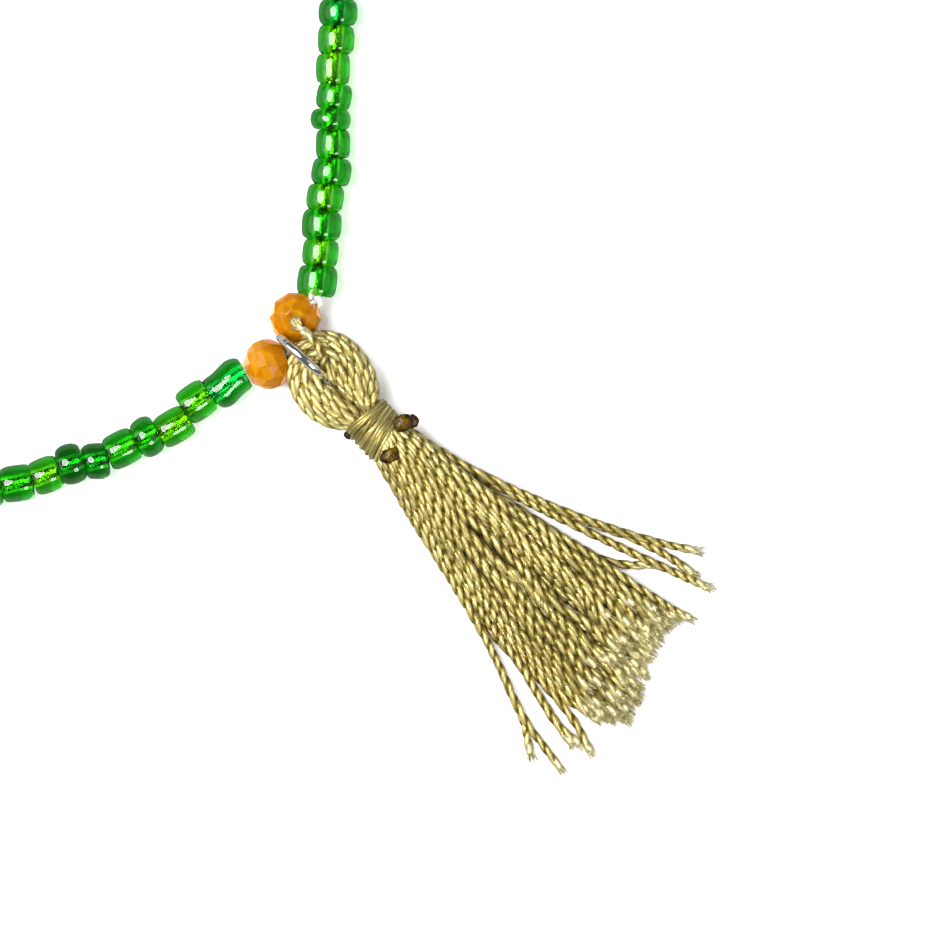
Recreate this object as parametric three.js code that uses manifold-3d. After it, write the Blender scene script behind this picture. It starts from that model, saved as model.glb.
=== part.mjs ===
// Beaded anklet, lying flat on the plane z = 0, in millimetres with +Z up.
// Green glass seed beads run round on a clear stretch cord that is knotted beside two faceted orange
// rondelles. A silver jump ring hangs on the cord between the rondelles and carries a silk tassel.
// The model is laid out round the jump ring, with the tassel along -Y, and is centred at the end.

import * as THREE from "three";
import { mergeVertices } from "three/addons/utils/BufferGeometryUtils.js";
import Module from "manifold-3d";

const wasm = await Module();
wasm.setup();

// Clearances
const SEAT_GAP = 0.3; // between pieces that touch
const THREADING_GAP = 0.18; // between the neck and its binding, and between the knot and its neighbours

// Seed beads
const BEAD_DIAMETER = 2.95;
const BEAD_LENGTH = 2.18;
const BEAD_MOUTH = 1.9; // flat end face, where two beads meet
const BEAD_HOLE = 1.15;
const BEAD_SHOULDER = 0.3; // share of a bead's length from its middle to its rounded shoulder
const BEAD_SIDES = 10;
const SOCKET_DEPTH = 1.4; // open length of the hole in the first and last bead

// Stretch cord and its knot
const CORD_DIAMETER = 0.5;
const KNOT_DIAMETER = 0.9;
const CORD_SIDES = 8;

// Faceted rondelles
const RONDELLE_DIAMETER = 4.05;
const RONDELLE_LENGTH = 3.0;
const RONDELLE_HOLE = 1.2;
const RONDELLE_SIDES = 10;
const UPPER_RONDELLE = { x: 2.15, y: 2.76, heading: 195, rise: 55 };
const LOWER_RONDELLE = { x: -2.4, y: 1.38, heading: 341, rise: 0 };

// Jump ring
const RING_DIAMETER = 5.2; // outside
const RING_WIRE = 0.7;
const RING_HEADING = 6; // degrees that the ring's plane is turned from the tassel's axis
const RING_LEAN = 8; // degrees that the ring leans from upright
const RING_PASS = 1.35; // how far from the ring's centre the cord goes through it

// Tassel
const HEAD_WIDTH = 6.7;
const HEAD_THICKNESS = 4.4;
const HEAD_LENGTH = 7.3; // from the ring eye's front to the neck
const HEAD_FRONT = 0.8; // how far the eye's threads reach in front of the ring's centre
const NECK_DIAMETER = 2.7;
const BINDING_DIAMETER = 3.9;
const BINDING_LENGTH = 2.9;
const MELTED_END_DIAMETER = 1.05;
const STRAND_DIAMETER = 0.68;
const SKIRT_LENGTH = 28.6;
const SKIRT_SPREAD = 20.2;
const SKIRT_THICKNESS = 3.3; // just below the binding
const FLATTENED = 0.3; // how much of the round head the ground presses flat
const TASSEL_AXIS = 0.75; // across offset of the neck from the ring's centre

// Route of the string of beads on the ground, from the knot round to the lower rondelle.
const STRING_ROUTE = [
  [4.6, 3.08],
  [6.75, 5.05],
  [9.3, 7.25],
  [11.6, 9.2],
  [14.45, 12.1],
  [17.3, 14.9],
  [20.4, 18.0],
  [25.6, 24.4],
  [30.7, 36.0],
  [31.4, 52.4],
  [22.9, 70.7],
  [6.3, 82.2],
  [-13.8, 84.0],
  [-32.1, 75.5],
  [-43.6, 58.9],
  [-45.5, 38.8],
  [-38.6, 22.3],
  [-31.2, 14.3],
  [-23.0, 7.9],
  [-19.05, 5.9],
  [-15.2, 4.25],
  [-10.8, 3.0],
  [-8.35, 2.7],
  [-5.45, 2.35],
  [-4.2, 2.12],
];

// Beads that show, as shares of the bead's length and diameter. The sway is across the string, as a
// share of the diameter.
const BEADS_AFTER_KNOT = [
  { length: 0.9, width: 1.06, sway: 0.02 },
  { length: 0.99, width: 0.96, sway: 0.01 },
  { length: 1.06, width: 1.06, sway: -0.04 },
  { length: 0.93, width: 1.0, sway: -0.04 },
  { length: 0.95, width: 1.06, sway: 0.05 },
  { length: 0.97, width: 0.92, sway: 0.05 },
  { length: 0.74, width: 1.07, sway: -0.04 },
  { length: 0.93, width: 0.94, sway: 0.02 },
  { length: 1.04, width: 0.92, sway: -0.03 },
  { length: 0.98, width: 0.98, sway: 0 },
  { length: 0.88, width: 1.04, sway: 0.01 },
];
const BEADS_BEFORE_RONDELLE = [
  { length: 1.3, width: 0.98, sway: 0 },
  { length: 1.0, width: 0.99, sway: -0.02 },
  { length: 0.84, width: 1.1, sway: 0.05 },
  { length: 0.86, width: 0.96, sway: -0.04 },
  { length: 1.17, width: 0.96, sway: 0.01 },
  { length: 0.82, width: 1.07, sway: 0.02 },
  { length: 1.28, width: 0.9, sway: -0.08 },
  { length: 1.1, width: 0.98, sway: 0.09 },
  { length: 1.42, width: 0.94, sway: 0 },
];

// Sections of the tassel's head, from the eye's front back to the neck: how far along the head, its
// middle and half width across as shares of the head's width, its half height as a share of the thickness.
const HEAD_SECTIONS = [
  { along: 0, middle: 0.01, halfWidth: 0.1, halfHeight: 0.14 },
  { along: 0.06, middle: 0.04, halfWidth: 0.25, halfHeight: 0.27 },
  { along: 0.21, middle: 0.03, halfWidth: 0.43, halfHeight: 0.42 },
  { along: 0.41, middle: 0.01, halfWidth: 0.49, halfHeight: 0.5 },
  { along: 0.62, middle: -0.01, halfWidth: 0.5, halfHeight: 0.49 },
  { along: 0.82, middle: -0.01, halfWidth: 0.41, halfHeight: 0.44 },
  { along: 0.96, middle: 0, halfWidth: 0.27, halfHeight: 0.37 },
  { along: 1, middle: 0, halfWidth: 0.2, halfHeight: 0.3 },
];

// Sections of the packed strands below the binding: how far down the skirt, the middle and half width
// across as shares of the skirt's spread, the half height as a share of its thickness.
const SKIRT_SECTIONS = [
  { along: 0, middle: 0.005, halfWidth: 0.085, halfHeight: 0.46 },
  { along: 0.08, middle: 0.008, halfWidth: 0.125, halfHeight: 0.5 },
  { along: 0.24, middle: -0.004, halfWidth: 0.165, halfHeight: 0.46 },
  { along: 0.45, middle: 0.015, halfWidth: 0.21, halfHeight: 0.38 },
  { along: 0.68, middle: 0.06, halfWidth: 0.18, halfHeight: 0.28 },
];

// Locks and single strands of the skirt: where the lock is across at half its reach and at its tip, as
// shares of the spread, its reach as a share of the skirt's length, its strands side by side, and the
// layer it lies in, 0 on the ground and 1 on top.
const LOCKS = [
  { middle: -0.22, tip: -0.413, reach: 0.875, strands: 1, layer: 0 },
  { middle: -0.2, tip: -0.362, reach: 0.958, strands: 1, layer: 0.4 },
  { middle: -0.165, tip: -0.27, reach: 0.927, strands: 1.5, layer: 0 },
  { middle: -0.14, tip: -0.235, reach: 0.985, strands: 1.5, layer: 0.3 },
  { middle: -0.115, tip: -0.125, reach: 0.965, strands: 3, layer: 0 },
  { middle: -0.06, tip: -0.03, reach: 1, strands: 3.2, layer: 0 },
  { middle: 0.005, tip: 0.065, reach: 0.965, strands: 3, layer: 0 },
  { middle: 0.06, tip: 0.165, reach: 0.925, strands: 3, layer: 0 },
  { middle: 0.13, tip: 0.26, reach: 0.93, strands: 3, layer: 0 },
  { middle: 0.185, tip: 0.345, reach: 0.9, strands: 2.6, layer: 0 },
  { middle: -0.085, tip: -0.08, reach: 0.92, strands: 3, layer: 1 },
  { middle: -0.02, tip: 0.02, reach: 0.945, strands: 3, layer: 1 },
  { middle: 0.055, tip: 0.14, reach: 0.88, strands: 2.6, layer: 1 },
  { middle: 0.12, tip: 0.255, reach: 0.84, strands: 2.6, layer: 1 },
  { middle: 0.255, tip: 0.527, reach: 0.875, strands: 1, layer: 0 },
  { middle: 0.25, tip: 0.522, reach: 0.815, strands: 1, layer: 0.6 },
  { middle: 0.262, tip: 0.592, reach: 0.778, strands: 1, layer: 0 },
  { middle: 0.185, tip: 0.433, reach: 0.735, strands: 1, layer: -0.1 },
];

// The tie thread that lies over the head and ends on the upper rondelle: across and along from the
// ring's centre, as shares of the head's width and length, and its height over the head's middle.
const TIE_THREAD = [
  { across: 0.14, along: -0.38, height: 0.46 },
  { across: 0.18, along: -0.26, height: 0.52 },
  { across: 0.225, along: -0.12, height: 0.53 },
  { across: 0.24, along: 0.02, height: 0.54 },
  { across: 0.23, along: 0.14, height: 0.56 },
  { across: 0.27, along: 0.27, height: 0.56 },
];

// Melted thread ends round the binding: across and height as shares of its diameter, and how far
// along it as a share of its length.
const MELTED_ENDS = [
  { across: 0.56, along: 0.8, height: 0.9, size: 1 },
  { across: -0.16, along: 1.26, height: 1, size: 1 },
  { across: -0.63, along: 0.14, height: 0.44, size: 0.6 },
];

const UP = new THREE.Vector3(0, 0, 1);
const radians = THREE.MathUtils.degToRad;

// Mesh helpers

// A closed geometry through rings of points: fans close its two ends, or the last ring joins the first.
function skin(rings, closed = false) {
  const sides = rings[0].length;
  const points = rings.flat();
  const faces = [];
  const bands = closed ? rings.length : rings.length - 1;
  for (let band = 0; band < bands; band++) {
    const low = band * sides;
    const high = ((band + 1) % rings.length) * sides;
    for (let i = 0; i < sides; i++) {
      const next = (i + 1) % sides;
      faces.push(low + i, low + next, high + next, low + i, high + next, high + i);
    }
  }
  if (!closed) {
    const last = (rings.length - 1) * sides;
    const first = points.push(middleOf(rings[0])) - 1;
    const end = points.push(middleOf(rings.at(-1))) - 1;
    for (let i = 0; i < sides; i++) {
      const next = (i + 1) % sides;
      faces.push(first, next, i, end, last + i, last + next);
    }
  }
  const geometry = new THREE.BufferGeometry().setFromPoints(points);
  geometry.setIndex(faces);
  return facingOut(geometry);
}

function middleOf(ring) {
  const sum = ring.reduce((total, point) => total.add(point), new THREE.Vector3());
  return sum.divideScalar(ring.length);
}

// The same geometry with its faces turned round if they point inwards.
function facingOut(geometry) {
  const at = geometry.getAttribute("position");
  const index = geometry.index.array;
  const corner = (i) => new THREE.Vector3().fromBufferAttribute(at, index[i]);
  let volume = 0;
  for (let i = 0; i < index.length; i += 3) {
    volume += corner(i).dot(corner(i + 1).cross(corner(i + 2)));
  }
  if (volume < 0) {
    for (let i = 0; i < index.length; i += 3) {
      [index[i], index[i + 1]] = [index[i + 1], index[i]];
    }
  }
  return geometry;
}

// A ring of points round a centre, with a flat side down: half the given width across the direction
// of travel and half the height up.
function ringRound(centre, travel, halfWidth, halfHeight, sides) {
  const across = new THREE.Vector3().crossVectors(travel, UP).normalize();
  const upright = new THREE.Vector3().crossVectors(across, travel).normalize();
  return Array.from({ length: sides }, (_, i) => {
    const angle = ((i + 0.5) / sides) * 2 * Math.PI - Math.PI / 2;
    return centre
      .clone()
      .addScaledVector(across, halfWidth * Math.cos(angle))
      .addScaledVector(upright, halfHeight * Math.sin(angle));
  });
}

// A rod along a curve, thickest where the radius function says, for shares of its length from 0 to 1.
function rod(points, radiusAt, steps, sides) {
  const curve = new THREE.CatmullRomCurve3(points, false, "centripetal");
  const rings = Array.from({ length: steps + 1 }, (_, i) => {
    const share = i / steps;
    const size = radiusAt(share);
    return ringRound(curve.getPointAt(share), curve.getTangentAt(share), size, size, sides);
  });
  return skin(rings);
}

// A solid for cutting and joining, from a closed geometry.
function solid(geometry) {
  const bare = geometry.clone();
  bare.deleteAttribute("normal");
  bare.deleteAttribute("uv");
  const merged = mergeVertices(bare, 1e-4);
  return new wasm.Manifold(
    new wasm.Mesh({
      numProp: 3,
      vertProperties: new Float32Array(merged.getAttribute("position").array),
      triVerts: new Uint32Array(merged.index.array),
    }),
  );
}

function geometryOf(body) {
  const mesh = body.getMesh();
  const geometry = new THREE.BufferGeometry();
  geometry.setAttribute("position", new THREE.BufferAttribute(mesh.vertProperties, 3));
  geometry.setIndex(new THREE.BufferAttribute(mesh.triVerts, 1));
  return geometry;
}

const joined = (bodies) => bodies.reduce((whole, body) => whole.add(body));

function piece(name, geometry, colour, roughness, metalness) {
  const material = new THREE.MeshStandardMaterial({ color: colour, roughness, metalness });
  const mesh = new THREE.Mesh(geometry, material);
  mesh.name = name;
  return mesh;
}

// String of beads

const route = new THREE.CatmullRomCurve3(
  STRING_ROUTE.map(([x, y]) => new THREE.Vector3(x, y, 0)),
  false,
  "centripetal",
);
route.arcLengthDivisions = 2000;

// All beads in order from the knot: those that show at both ends, and between them the same mix
// repeated and eased in length until it fills the route exactly.
function beadList() {
  const toSize = (bead) => ({
    length: bead.length * BEAD_LENGTH,
    radius: (bead.width * BEAD_DIAMETER) / 2,
    sway: bead.sway * BEAD_DIAMETER,
  });
  const first = BEADS_AFTER_KNOT.map(toSize);
  const last = BEADS_BEFORE_RONDELLE.map(toSize);
  const mix = [...BEADS_BEFORE_RONDELLE.slice(1), ...BEADS_AFTER_KNOT].map(toSize);
  const total = (beads) => beads.reduce((sum, bead) => sum + bead.length, 0);
  const room = route.getLength() - total(first) - total(last);
  const hidden = [];
  while (total(hidden) + BEAD_LENGTH / 2 < room) {
    hidden.push({ ...mix[hidden.length % mix.length] });
  }
  const easing = room / total(hidden);
  hidden.forEach((bead) => (bead.length *= easing));
  return [...first, ...hidden, ...last];
}

// Height of a bead's hole over the ground, with one flat side of the bead down.
const restHeight = (radius, sides) => radius * Math.cos(Math.PI / sides);

function stringRing(along, height, sway, radius) {
  const share = THREE.MathUtils.clamp(along / route.getLength(), 0, 1);
  const travel = route.getTangentAt(share);
  const across = new THREE.Vector3().crossVectors(travel, UP);
  const centre = route.getPointAt(share).addScaledVector(across, sway).setZ(height);
  return ringRound(centre, travel, radius, radius, BEAD_SIDES);
}

function beadString() {
  const beads = beadList();
  const hole = BEAD_HOLE / 2;
  const heights = beads.map((bead) => restHeight(bead.radius, BEAD_SIDES));
  const length = route.getLength();
  const mouth = BEAD_MOUTH / 2;
  const rings = [
    stringRing(SOCKET_DEPTH, heights[0], beads[0].sway, hole),
    stringRing(0, heights[0], beads[0].sway, hole),
    stringRing(0, heights[0], beads[0].sway, mouth),
  ];
  let start = 0;
  beads.forEach((bead, i) => {
    const centre = start + bead.length / 2;
    const shoulder = BEAD_SHOULDER * bead.length;
    rings.push(stringRing(centre - shoulder, heights[i], bead.sway, bead.radius));
    rings.push(stringRing(centre + shoulder, heights[i], bead.sway, bead.radius));
    start += bead.length;
    const next = beads[i + 1];
    if (next) {
      const height = (heights[i] + heights[i + 1]) / 2;
      rings.push(stringRing(start, height, (bead.sway + next.sway) / 2, mouth));
    }
  });
  const [height, sway] = [heights.at(-1), beads.at(-1).sway];
  rings.push(stringRing(length, height, sway, mouth));
  rings.push(stringRing(length, height, sway, hole));
  rings.push(stringRing(length - SOCKET_DEPTH, height, sway, hole));
  return skin(rings);
}

// Where the cord enters the string of beads, at its start or its end, and a point inside the hole.
function stringMouth(atStart) {
  const bead = atStart ? BEADS_AFTER_KNOT[0] : BEADS_BEFORE_RONDELLE.at(-1);
  const height = restHeight((bead.width * BEAD_DIAMETER) / 2, BEAD_SIDES);
  const share = atStart ? 0 : 1;
  const inwards = route.getTangentAt(share).multiplyScalar(atStart ? 1 : -1);
  const mouth = route.getPointAt(share).setZ(height);
  const inside = mouth.clone().addScaledVector(inwards, SOCKET_DEPTH - SEAT_GAP);
  return { mouth, inside, inwards };
}

// Rondelles

// Rings of a cut rondelle round the Z axis: end face, crown and girdle, grown by a margin. Crown rings
// are turned half a step, so that triangular facets lie between them and the girdle.
function rondelleRings(margin) {
  const radius = RONDELLE_DIAMETER / 2 + margin;
  const half = RONDELLE_LENGTH / 2 + margin;
  const hole = RONDELLE_HOLE / 2;
  const ring = (height, size, turn) =>
    Array.from({ length: RONDELLE_SIDES }, (_, i) => {
      const angle = ((i + turn) / RONDELLE_SIDES) * 2 * Math.PI;
      return new THREE.Vector3(size * Math.cos(angle), size * Math.sin(angle), height);
    });
  const rings = [
    ring(-half, radius * 0.47, 0.5),
    ring(-half * 0.6, radius * 0.84, 0),
    ring(-half * 0.19, radius, 0.5),
    ring(half * 0.19, radius, 0.5),
    ring(half * 0.6, radius * 0.84, 0),
    ring(half, radius * 0.47, 0.5),
  ];
  return margin > 0 ? skin(rings) : skin([...rings, ring(half, hole, 0.5), ring(-half, hole, 0.5)], true);
}

// Turns a rondelle's axis to its heading and rise.
function rondelleTurn({ heading, rise }) {
  const axis = new THREE.Vector3(
    Math.cos(radians(heading)) * Math.cos(radians(rise)),
    Math.sin(radians(heading)) * Math.cos(radians(rise)),
    Math.sin(radians(rise)),
  );
  const lean = new THREE.Matrix4().makeRotationY(radians(90 - rise));
  const turn = new THREE.Matrix4().makeRotationZ(radians(heading)).multiply(lean);
  return { axis, turn };
}

// How high a turned rondelle's middle is when its lowest point touches the ground.
function rondelleHeight(place) {
  const lying = rondelleRings(0).applyMatrix4(rondelleTurn(place).turn);
  lying.computeBoundingBox();
  return -lying.boundingBox.min.z;
}

function rondelle(place, margin = 0) {
  const { turn } = rondelleTurn(place);
  return rondelleRings(margin)
    .applyMatrix4(turn)
    .translate(place.x, place.y, rondelleHeight(place));
}

// Middle of the hole at one end of a rondelle, 1 at the heading's end and -1 at the other.
function rondelleMouth(place, end) {
  const { axis } = rondelleTurn(place);
  return new THREE.Vector3(place.x, place.y, rondelleHeight(place)).addScaledVector(
    axis,
    (end * RONDELLE_LENGTH) / 2,
  );
}

// Stretch cord

function stretchCord() {
  const start = stringMouth(true);
  const finish = stringMouth(false);
  const knotReach = KNOT_DIAMETER / 2 + THREADING_GAP;
  const knot = start.mouth.clone().addScaledVector(start.inwards, -knotReach);
  knot.z = KNOT_DIAMETER / 2 + SEAT_GAP;
  const pass = new THREE.Vector3(0, RING_PASS, RING_DIAMETER / 2);
  const points = [
    start.inside,
    start.mouth,
    knot,
    rondelleMouth(UPPER_RONDELLE, -1),
    rondelleMouth(UPPER_RONDELLE, 1),
    pass,
    rondelleMouth(LOWER_RONDELLE, 1),
    rondelleMouth(LOWER_RONDELLE, -1),
    finish.mouth,
    finish.inside,
  ];
  const cord = rod(points, () => CORD_DIAMETER / 2, 44, CORD_SIDES);
  const ball = new THREE.SphereGeometry(KNOT_DIAMETER / 2, 10, 7).translate(knot.x, knot.y, knot.z);
  return geometryOf(solid(cord).add(solid(ball)));
}

// Jump ring

const ringRadius = (RING_DIAMETER - RING_WIRE) / 2;

// Puts a shape made round the Z axis into the plane of the jump ring, which stands on the ground.
function intoRingPlane(geometry) {
  const height = ringRadius * Math.cos(radians(RING_LEAN)) + RING_WIRE / 2;
  return geometry
    .rotateY(radians(90 - RING_LEAN))
    .rotateZ(radians(RING_HEADING))
    .translate(0, 0, height);
}

const jumpRing = () => intoRingPlane(new THREE.TorusGeometry(ringRadius, RING_WIRE / 2, 6, 22));

// The room that the ring needs in the tassel's eye: a channel round the wire, and a slot over the
// part of the wire that dives between the head's two lobes.
function ringRoom() {
  const half = RING_WIRE / 2 + SEAT_GAP;
  const channel = [
    new THREE.Vector2(ringRadius - half, -half),
    new THREE.Vector2(ringRadius + half, -half),
    new THREE.Vector2(ringRadius + half, half),
    new THREE.Vector2(ringRadius - half, half),
    new THREE.Vector2(ringRadius - half, -half),
  ];
  const round = solid(intoRingPlane(new THREE.LatheGeometry(channel, 22).rotateX(Math.PI / 2)));
  const depth = 2 * half;
  const slot = new THREE.BoxGeometry(2 * half, depth, HEAD_THICKNESS)
    .translate(0, -ringRadius, HEAD_THICKNESS / 2 + RING_DIAMETER / 2)
    .rotateZ(radians(RING_HEADING));
  return round.add(solid(slot));
}

// Tassel

const headMiddle = HEAD_THICKNESS / 2 - FLATTENED;
const neckMiddle = restHeight(BINDING_DIAMETER / 2, 16);
const headEnd = HEAD_FRONT - HEAD_LENGTH;
const bindingTop = headEnd - THREADING_GAP;
const bindingEnd = bindingTop - BINDING_LENGTH;
const skirtTop = bindingEnd - THREADING_GAP;

function head() {
  const rings = HEAD_SECTIONS.map(({ along, middle, halfWidth, halfHeight }) => {
    const height = THREE.MathUtils.lerp(headMiddle + FLATTENED, neckMiddle, along);
    const centre = new THREE.Vector3(
      TASSEL_AXIS + middle * HEAD_WIDTH,
      HEAD_FRONT - along * HEAD_LENGTH,
      height,
    );
    const travel = new THREE.Vector3(0, -1, 0);
    return ringRound(centre, travel, halfWidth * HEAD_WIDTH, halfHeight * HEAD_THICKNESS, 16);
  });
  return solid(skin(rings));
}

function neck() {
  const rings = [headEnd + SEAT_GAP, skirtTop - SEAT_GAP].map((y) =>
    ringRound(
      new THREE.Vector3(TASSEL_AXIS, y, neckMiddle),
      new THREE.Vector3(0, -1, 0),
      NECK_DIAMETER / 2,
      NECK_DIAMETER / 2,
      16,
    ),
  );
  return solid(skin(rings));
}

function packedStrands() {
  const rings = SKIRT_SECTIONS.map(({ along, middle, halfWidth, halfHeight }) => {
    const high = halfHeight * SKIRT_THICKNESS;
    const resting = THREE.MathUtils.lerp(neckMiddle, high, Math.min(1, along * 5));
    return ringRound(
      new THREE.Vector3(
        TASSEL_AXIS + middle * SKIRT_SPREAD,
        skirtTop - along * SKIRT_LENGTH,
        resting,
      ),
      new THREE.Vector3(0, -1, 0),
      halfWidth * SKIRT_SPREAD,
      high,
      14,
    );
  });
  return solid(skin(rings));
}

// One lock of strands, from the neck to its tip, flattening as it spreads.
function lock({ middle, tip, reach, strands, layer }) {
  const along = reach * SKIRT_LENGTH;
  const packed = (middle / LOCKS[0].middle) * (-NECK_DIAMETER / 2);
  const high = STRAND_DIAMETER * (strands > 2 ? 0.8 : 0.5);
  const resting = high * 0.8;
  const lift = layer * STRAND_DIAMETER * 1.9;
  const at = (across, down, height) =>
    new THREE.Vector3(TASSEL_AXIS + across, skirtTop - down, height);
  const curve = new THREE.CatmullRomCurve3(
    [
      at(packed * 0.5, -THREADING_GAP / 2, neckMiddle),
      at(middle * SKIRT_SPREAD * 0.5, SKIRT_LENGTH * 0.12, resting + lift + STRAND_DIAMETER),
      at(middle * SKIRT_SPREAD, along * 0.5, resting + lift),
      at(((middle + tip) / 2) * SKIRT_SPREAD, along * 0.78, resting + lift * 0.9),
      at(tip * SKIRT_SPREAD, along, resting + lift * 0.7),
    ],
    false,
    "centripetal",
  );
  const steps = 7;
  const rings = Array.from({ length: steps + 1 }, (_, i) => {
    const share = i / steps;
    const spread = THREE.MathUtils.lerp(STRAND_DIAMETER * 0.6, (strands * STRAND_DIAMETER) / 2, share);
    const wide = strands > 2 ? spread : (strands * STRAND_DIAMETER) / 2;
    return ringRound(curve.getPointAt(share), curve.getTangentAt(share), wide, high, 8);
  });
  return solid(skin(rings));
}

function tieThread() {
  const points = TIE_THREAD.map(
    ({ across, along, height }) =>
      new THREE.Vector3(across * HEAD_WIDTH, along * HEAD_LENGTH, headMiddle + height * HEAD_THICKNESS),
  );
  return solid(rod(points, () => STRAND_DIAMETER / 2, 6, 6));
}

function tassel() {
  const ground = new THREE.BoxGeometry(4 * SKIRT_SPREAD, 4 * SKIRT_LENGTH, HEAD_THICKNESS);
  ground.translate(0, 0, -HEAD_THICKNESS / 2);
  const roomForRondelles = [UPPER_RONDELLE, LOWER_RONDELLE].map((place) =>
    solid(rondelle(place, SEAT_GAP)),
  );
  const body = joined([head(), neck(), packedStrands(), ...LOCKS.map(lock), tieThread()]);
  const cut = joined([ringRoom(), ...roomForRondelles, solid(ground)]);
  return geometryOf(body.subtract(cut));
}

// Binding, as a barrel of thread with the neck's core inside
function neckBinding() {
  const outside = BINDING_DIAMETER / 2;
  const inside = NECK_DIAMETER / 2 + THREADING_GAP;
  const half = BINDING_LENGTH / 2;
  const profile = [
    new THREE.Vector2(inside, -half),
    new THREE.Vector2(outside * 0.93, -half),
    new THREE.Vector2(outside, -half * 0.75),
    new THREE.Vector2(outside * 0.97, 0),
    new THREE.Vector2(outside, half * 0.75),
    new THREE.Vector2(outside * 0.93, half),
    new THREE.Vector2(inside, half),
    new THREE.Vector2(inside, -half),
  ];
  return new THREE.LatheGeometry(profile, 16, Math.PI / 16)
    .translate(TASSEL_AXIS, 0, 0)
    .translate(0, (bindingTop + bindingEnd) / 2, neckMiddle);
}

function meltedEnd({ across, along, height, size }) {
  return new THREE.SphereGeometry((size * MELTED_END_DIAMETER) / 2, 10, 7).translate(
    TASSEL_AXIS + across * BINDING_DIAMETER,
    bindingTop - along * BINDING_LENGTH,
    height * BINDING_DIAMETER,
  );
}

// Assembly

const layout = new THREE.Group();
layout.add(piece("bead_string", beadString(), 0x1f9a2e, 0.12, 0.1));
layout.add(piece("stretch_cord", stretchCord(), 0xe8ecea, 0.4, 0));
layout.add(piece("rondelle_upper", rondelle(UPPER_RONDELLE), 0xdb8410, 0.15, 0));
layout.add(piece("rondelle_lower", rondelle(LOWER_RONDELLE), 0xdb8410, 0.15, 0));
layout.add(piece("jump_ring", jumpRing(), 0xc9ccd0, 0.18, 1));
layout.add(piece("tassel", tassel(), 0xb8a75c, 0.45, 0.1));
layout.add(piece("neck_binding", neckBinding(), 0xb5a154, 0.4, 0.1));
MELTED_ENDS.forEach((end, i) => {
  layout.add(piece(`melted_end_${i + 1}`, meltedEnd(end), 0x5a3f10, 0.2, 0));
});

// The origin is at the bottom centre of the whole anklet's box.
const box = new THREE.Box3().setFromObject(layout);
const centre = box.getCenter(new THREE.Vector3());
layout.position.set(-centre.x, -centre.y, -box.min.z);

const anklet = new THREE.Group();
anklet.add(layout);

export default anklet;
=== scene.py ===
"""Beaded anklet with a silk tassel: the looks of the visible pieces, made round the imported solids.

Shapes are worked out in millimetres round the middle of the jump ring, with the tassel along -Y and the
ground at height 0, and are put in their place in metres at the end.
"""

import math

import bpy
import numpy as np
from mathutils import Matrix, Vector


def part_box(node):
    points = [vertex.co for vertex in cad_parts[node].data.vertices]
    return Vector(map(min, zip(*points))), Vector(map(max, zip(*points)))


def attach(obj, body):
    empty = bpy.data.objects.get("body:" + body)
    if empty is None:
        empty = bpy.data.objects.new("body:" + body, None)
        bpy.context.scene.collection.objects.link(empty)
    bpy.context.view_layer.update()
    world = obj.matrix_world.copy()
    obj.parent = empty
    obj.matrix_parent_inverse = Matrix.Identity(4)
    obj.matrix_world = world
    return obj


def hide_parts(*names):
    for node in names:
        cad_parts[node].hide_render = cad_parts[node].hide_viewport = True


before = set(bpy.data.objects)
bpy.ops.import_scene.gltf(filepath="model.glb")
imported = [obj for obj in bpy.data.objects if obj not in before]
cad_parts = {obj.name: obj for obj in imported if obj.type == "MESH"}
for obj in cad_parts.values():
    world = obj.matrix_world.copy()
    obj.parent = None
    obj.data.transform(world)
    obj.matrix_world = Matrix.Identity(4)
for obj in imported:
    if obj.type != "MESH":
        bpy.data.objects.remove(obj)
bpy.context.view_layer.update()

bl_info = {
    "name": "Beaded Anklet",
    "version": (1, 0, 0),
    "blender": (4, 5, 0),
    "location": "View3D > Sidebar > Anklet",
    "description": "Builds the beads, rondelles, ring and silk tassel of a beaded anklet",
    "category": "Object",
}

BODY = "root"
MM = 0.001
UP = np.array([0.0, 0.0, 1.0])

RING_LOW, RING_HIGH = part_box("jump_ring")
RING_MIDDLE = np.array([(RING_LOW.x + RING_HIGH.x) / 2, (RING_LOW.y + RING_HIGH.y) / 2, 0.0])

# String of beads: its route on the ground from the knot round to the lower rondelle.
STRING_ROUTE = [
    (4.21, 2.72), (6.75, 5.05), (9.3, 7.25), (11.6, 9.2), (14.45, 12.1), (17.3, 14.9), (20.4, 18.0),
    (25.6, 24.4), (30.7, 36.0), (31.4, 52.4), (22.9, 70.7), (6.3, 82.2), (-13.8, 84.0), (-32.1, 75.5),
    (-43.6, 58.9), (-45.5, 38.8), (-38.6, 22.3), (-31.2, 14.3), (-23.0, 7.9), (-19.05, 5.9),
    (-15.2, 4.25), (-10.8, 3.0), (-8.35, 2.7), (-5.45, 2.35), (-3.9, 2.03),
]
BEAD_DIAMETER = 2.95
BEAD_LENGTH = 2.18

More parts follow.
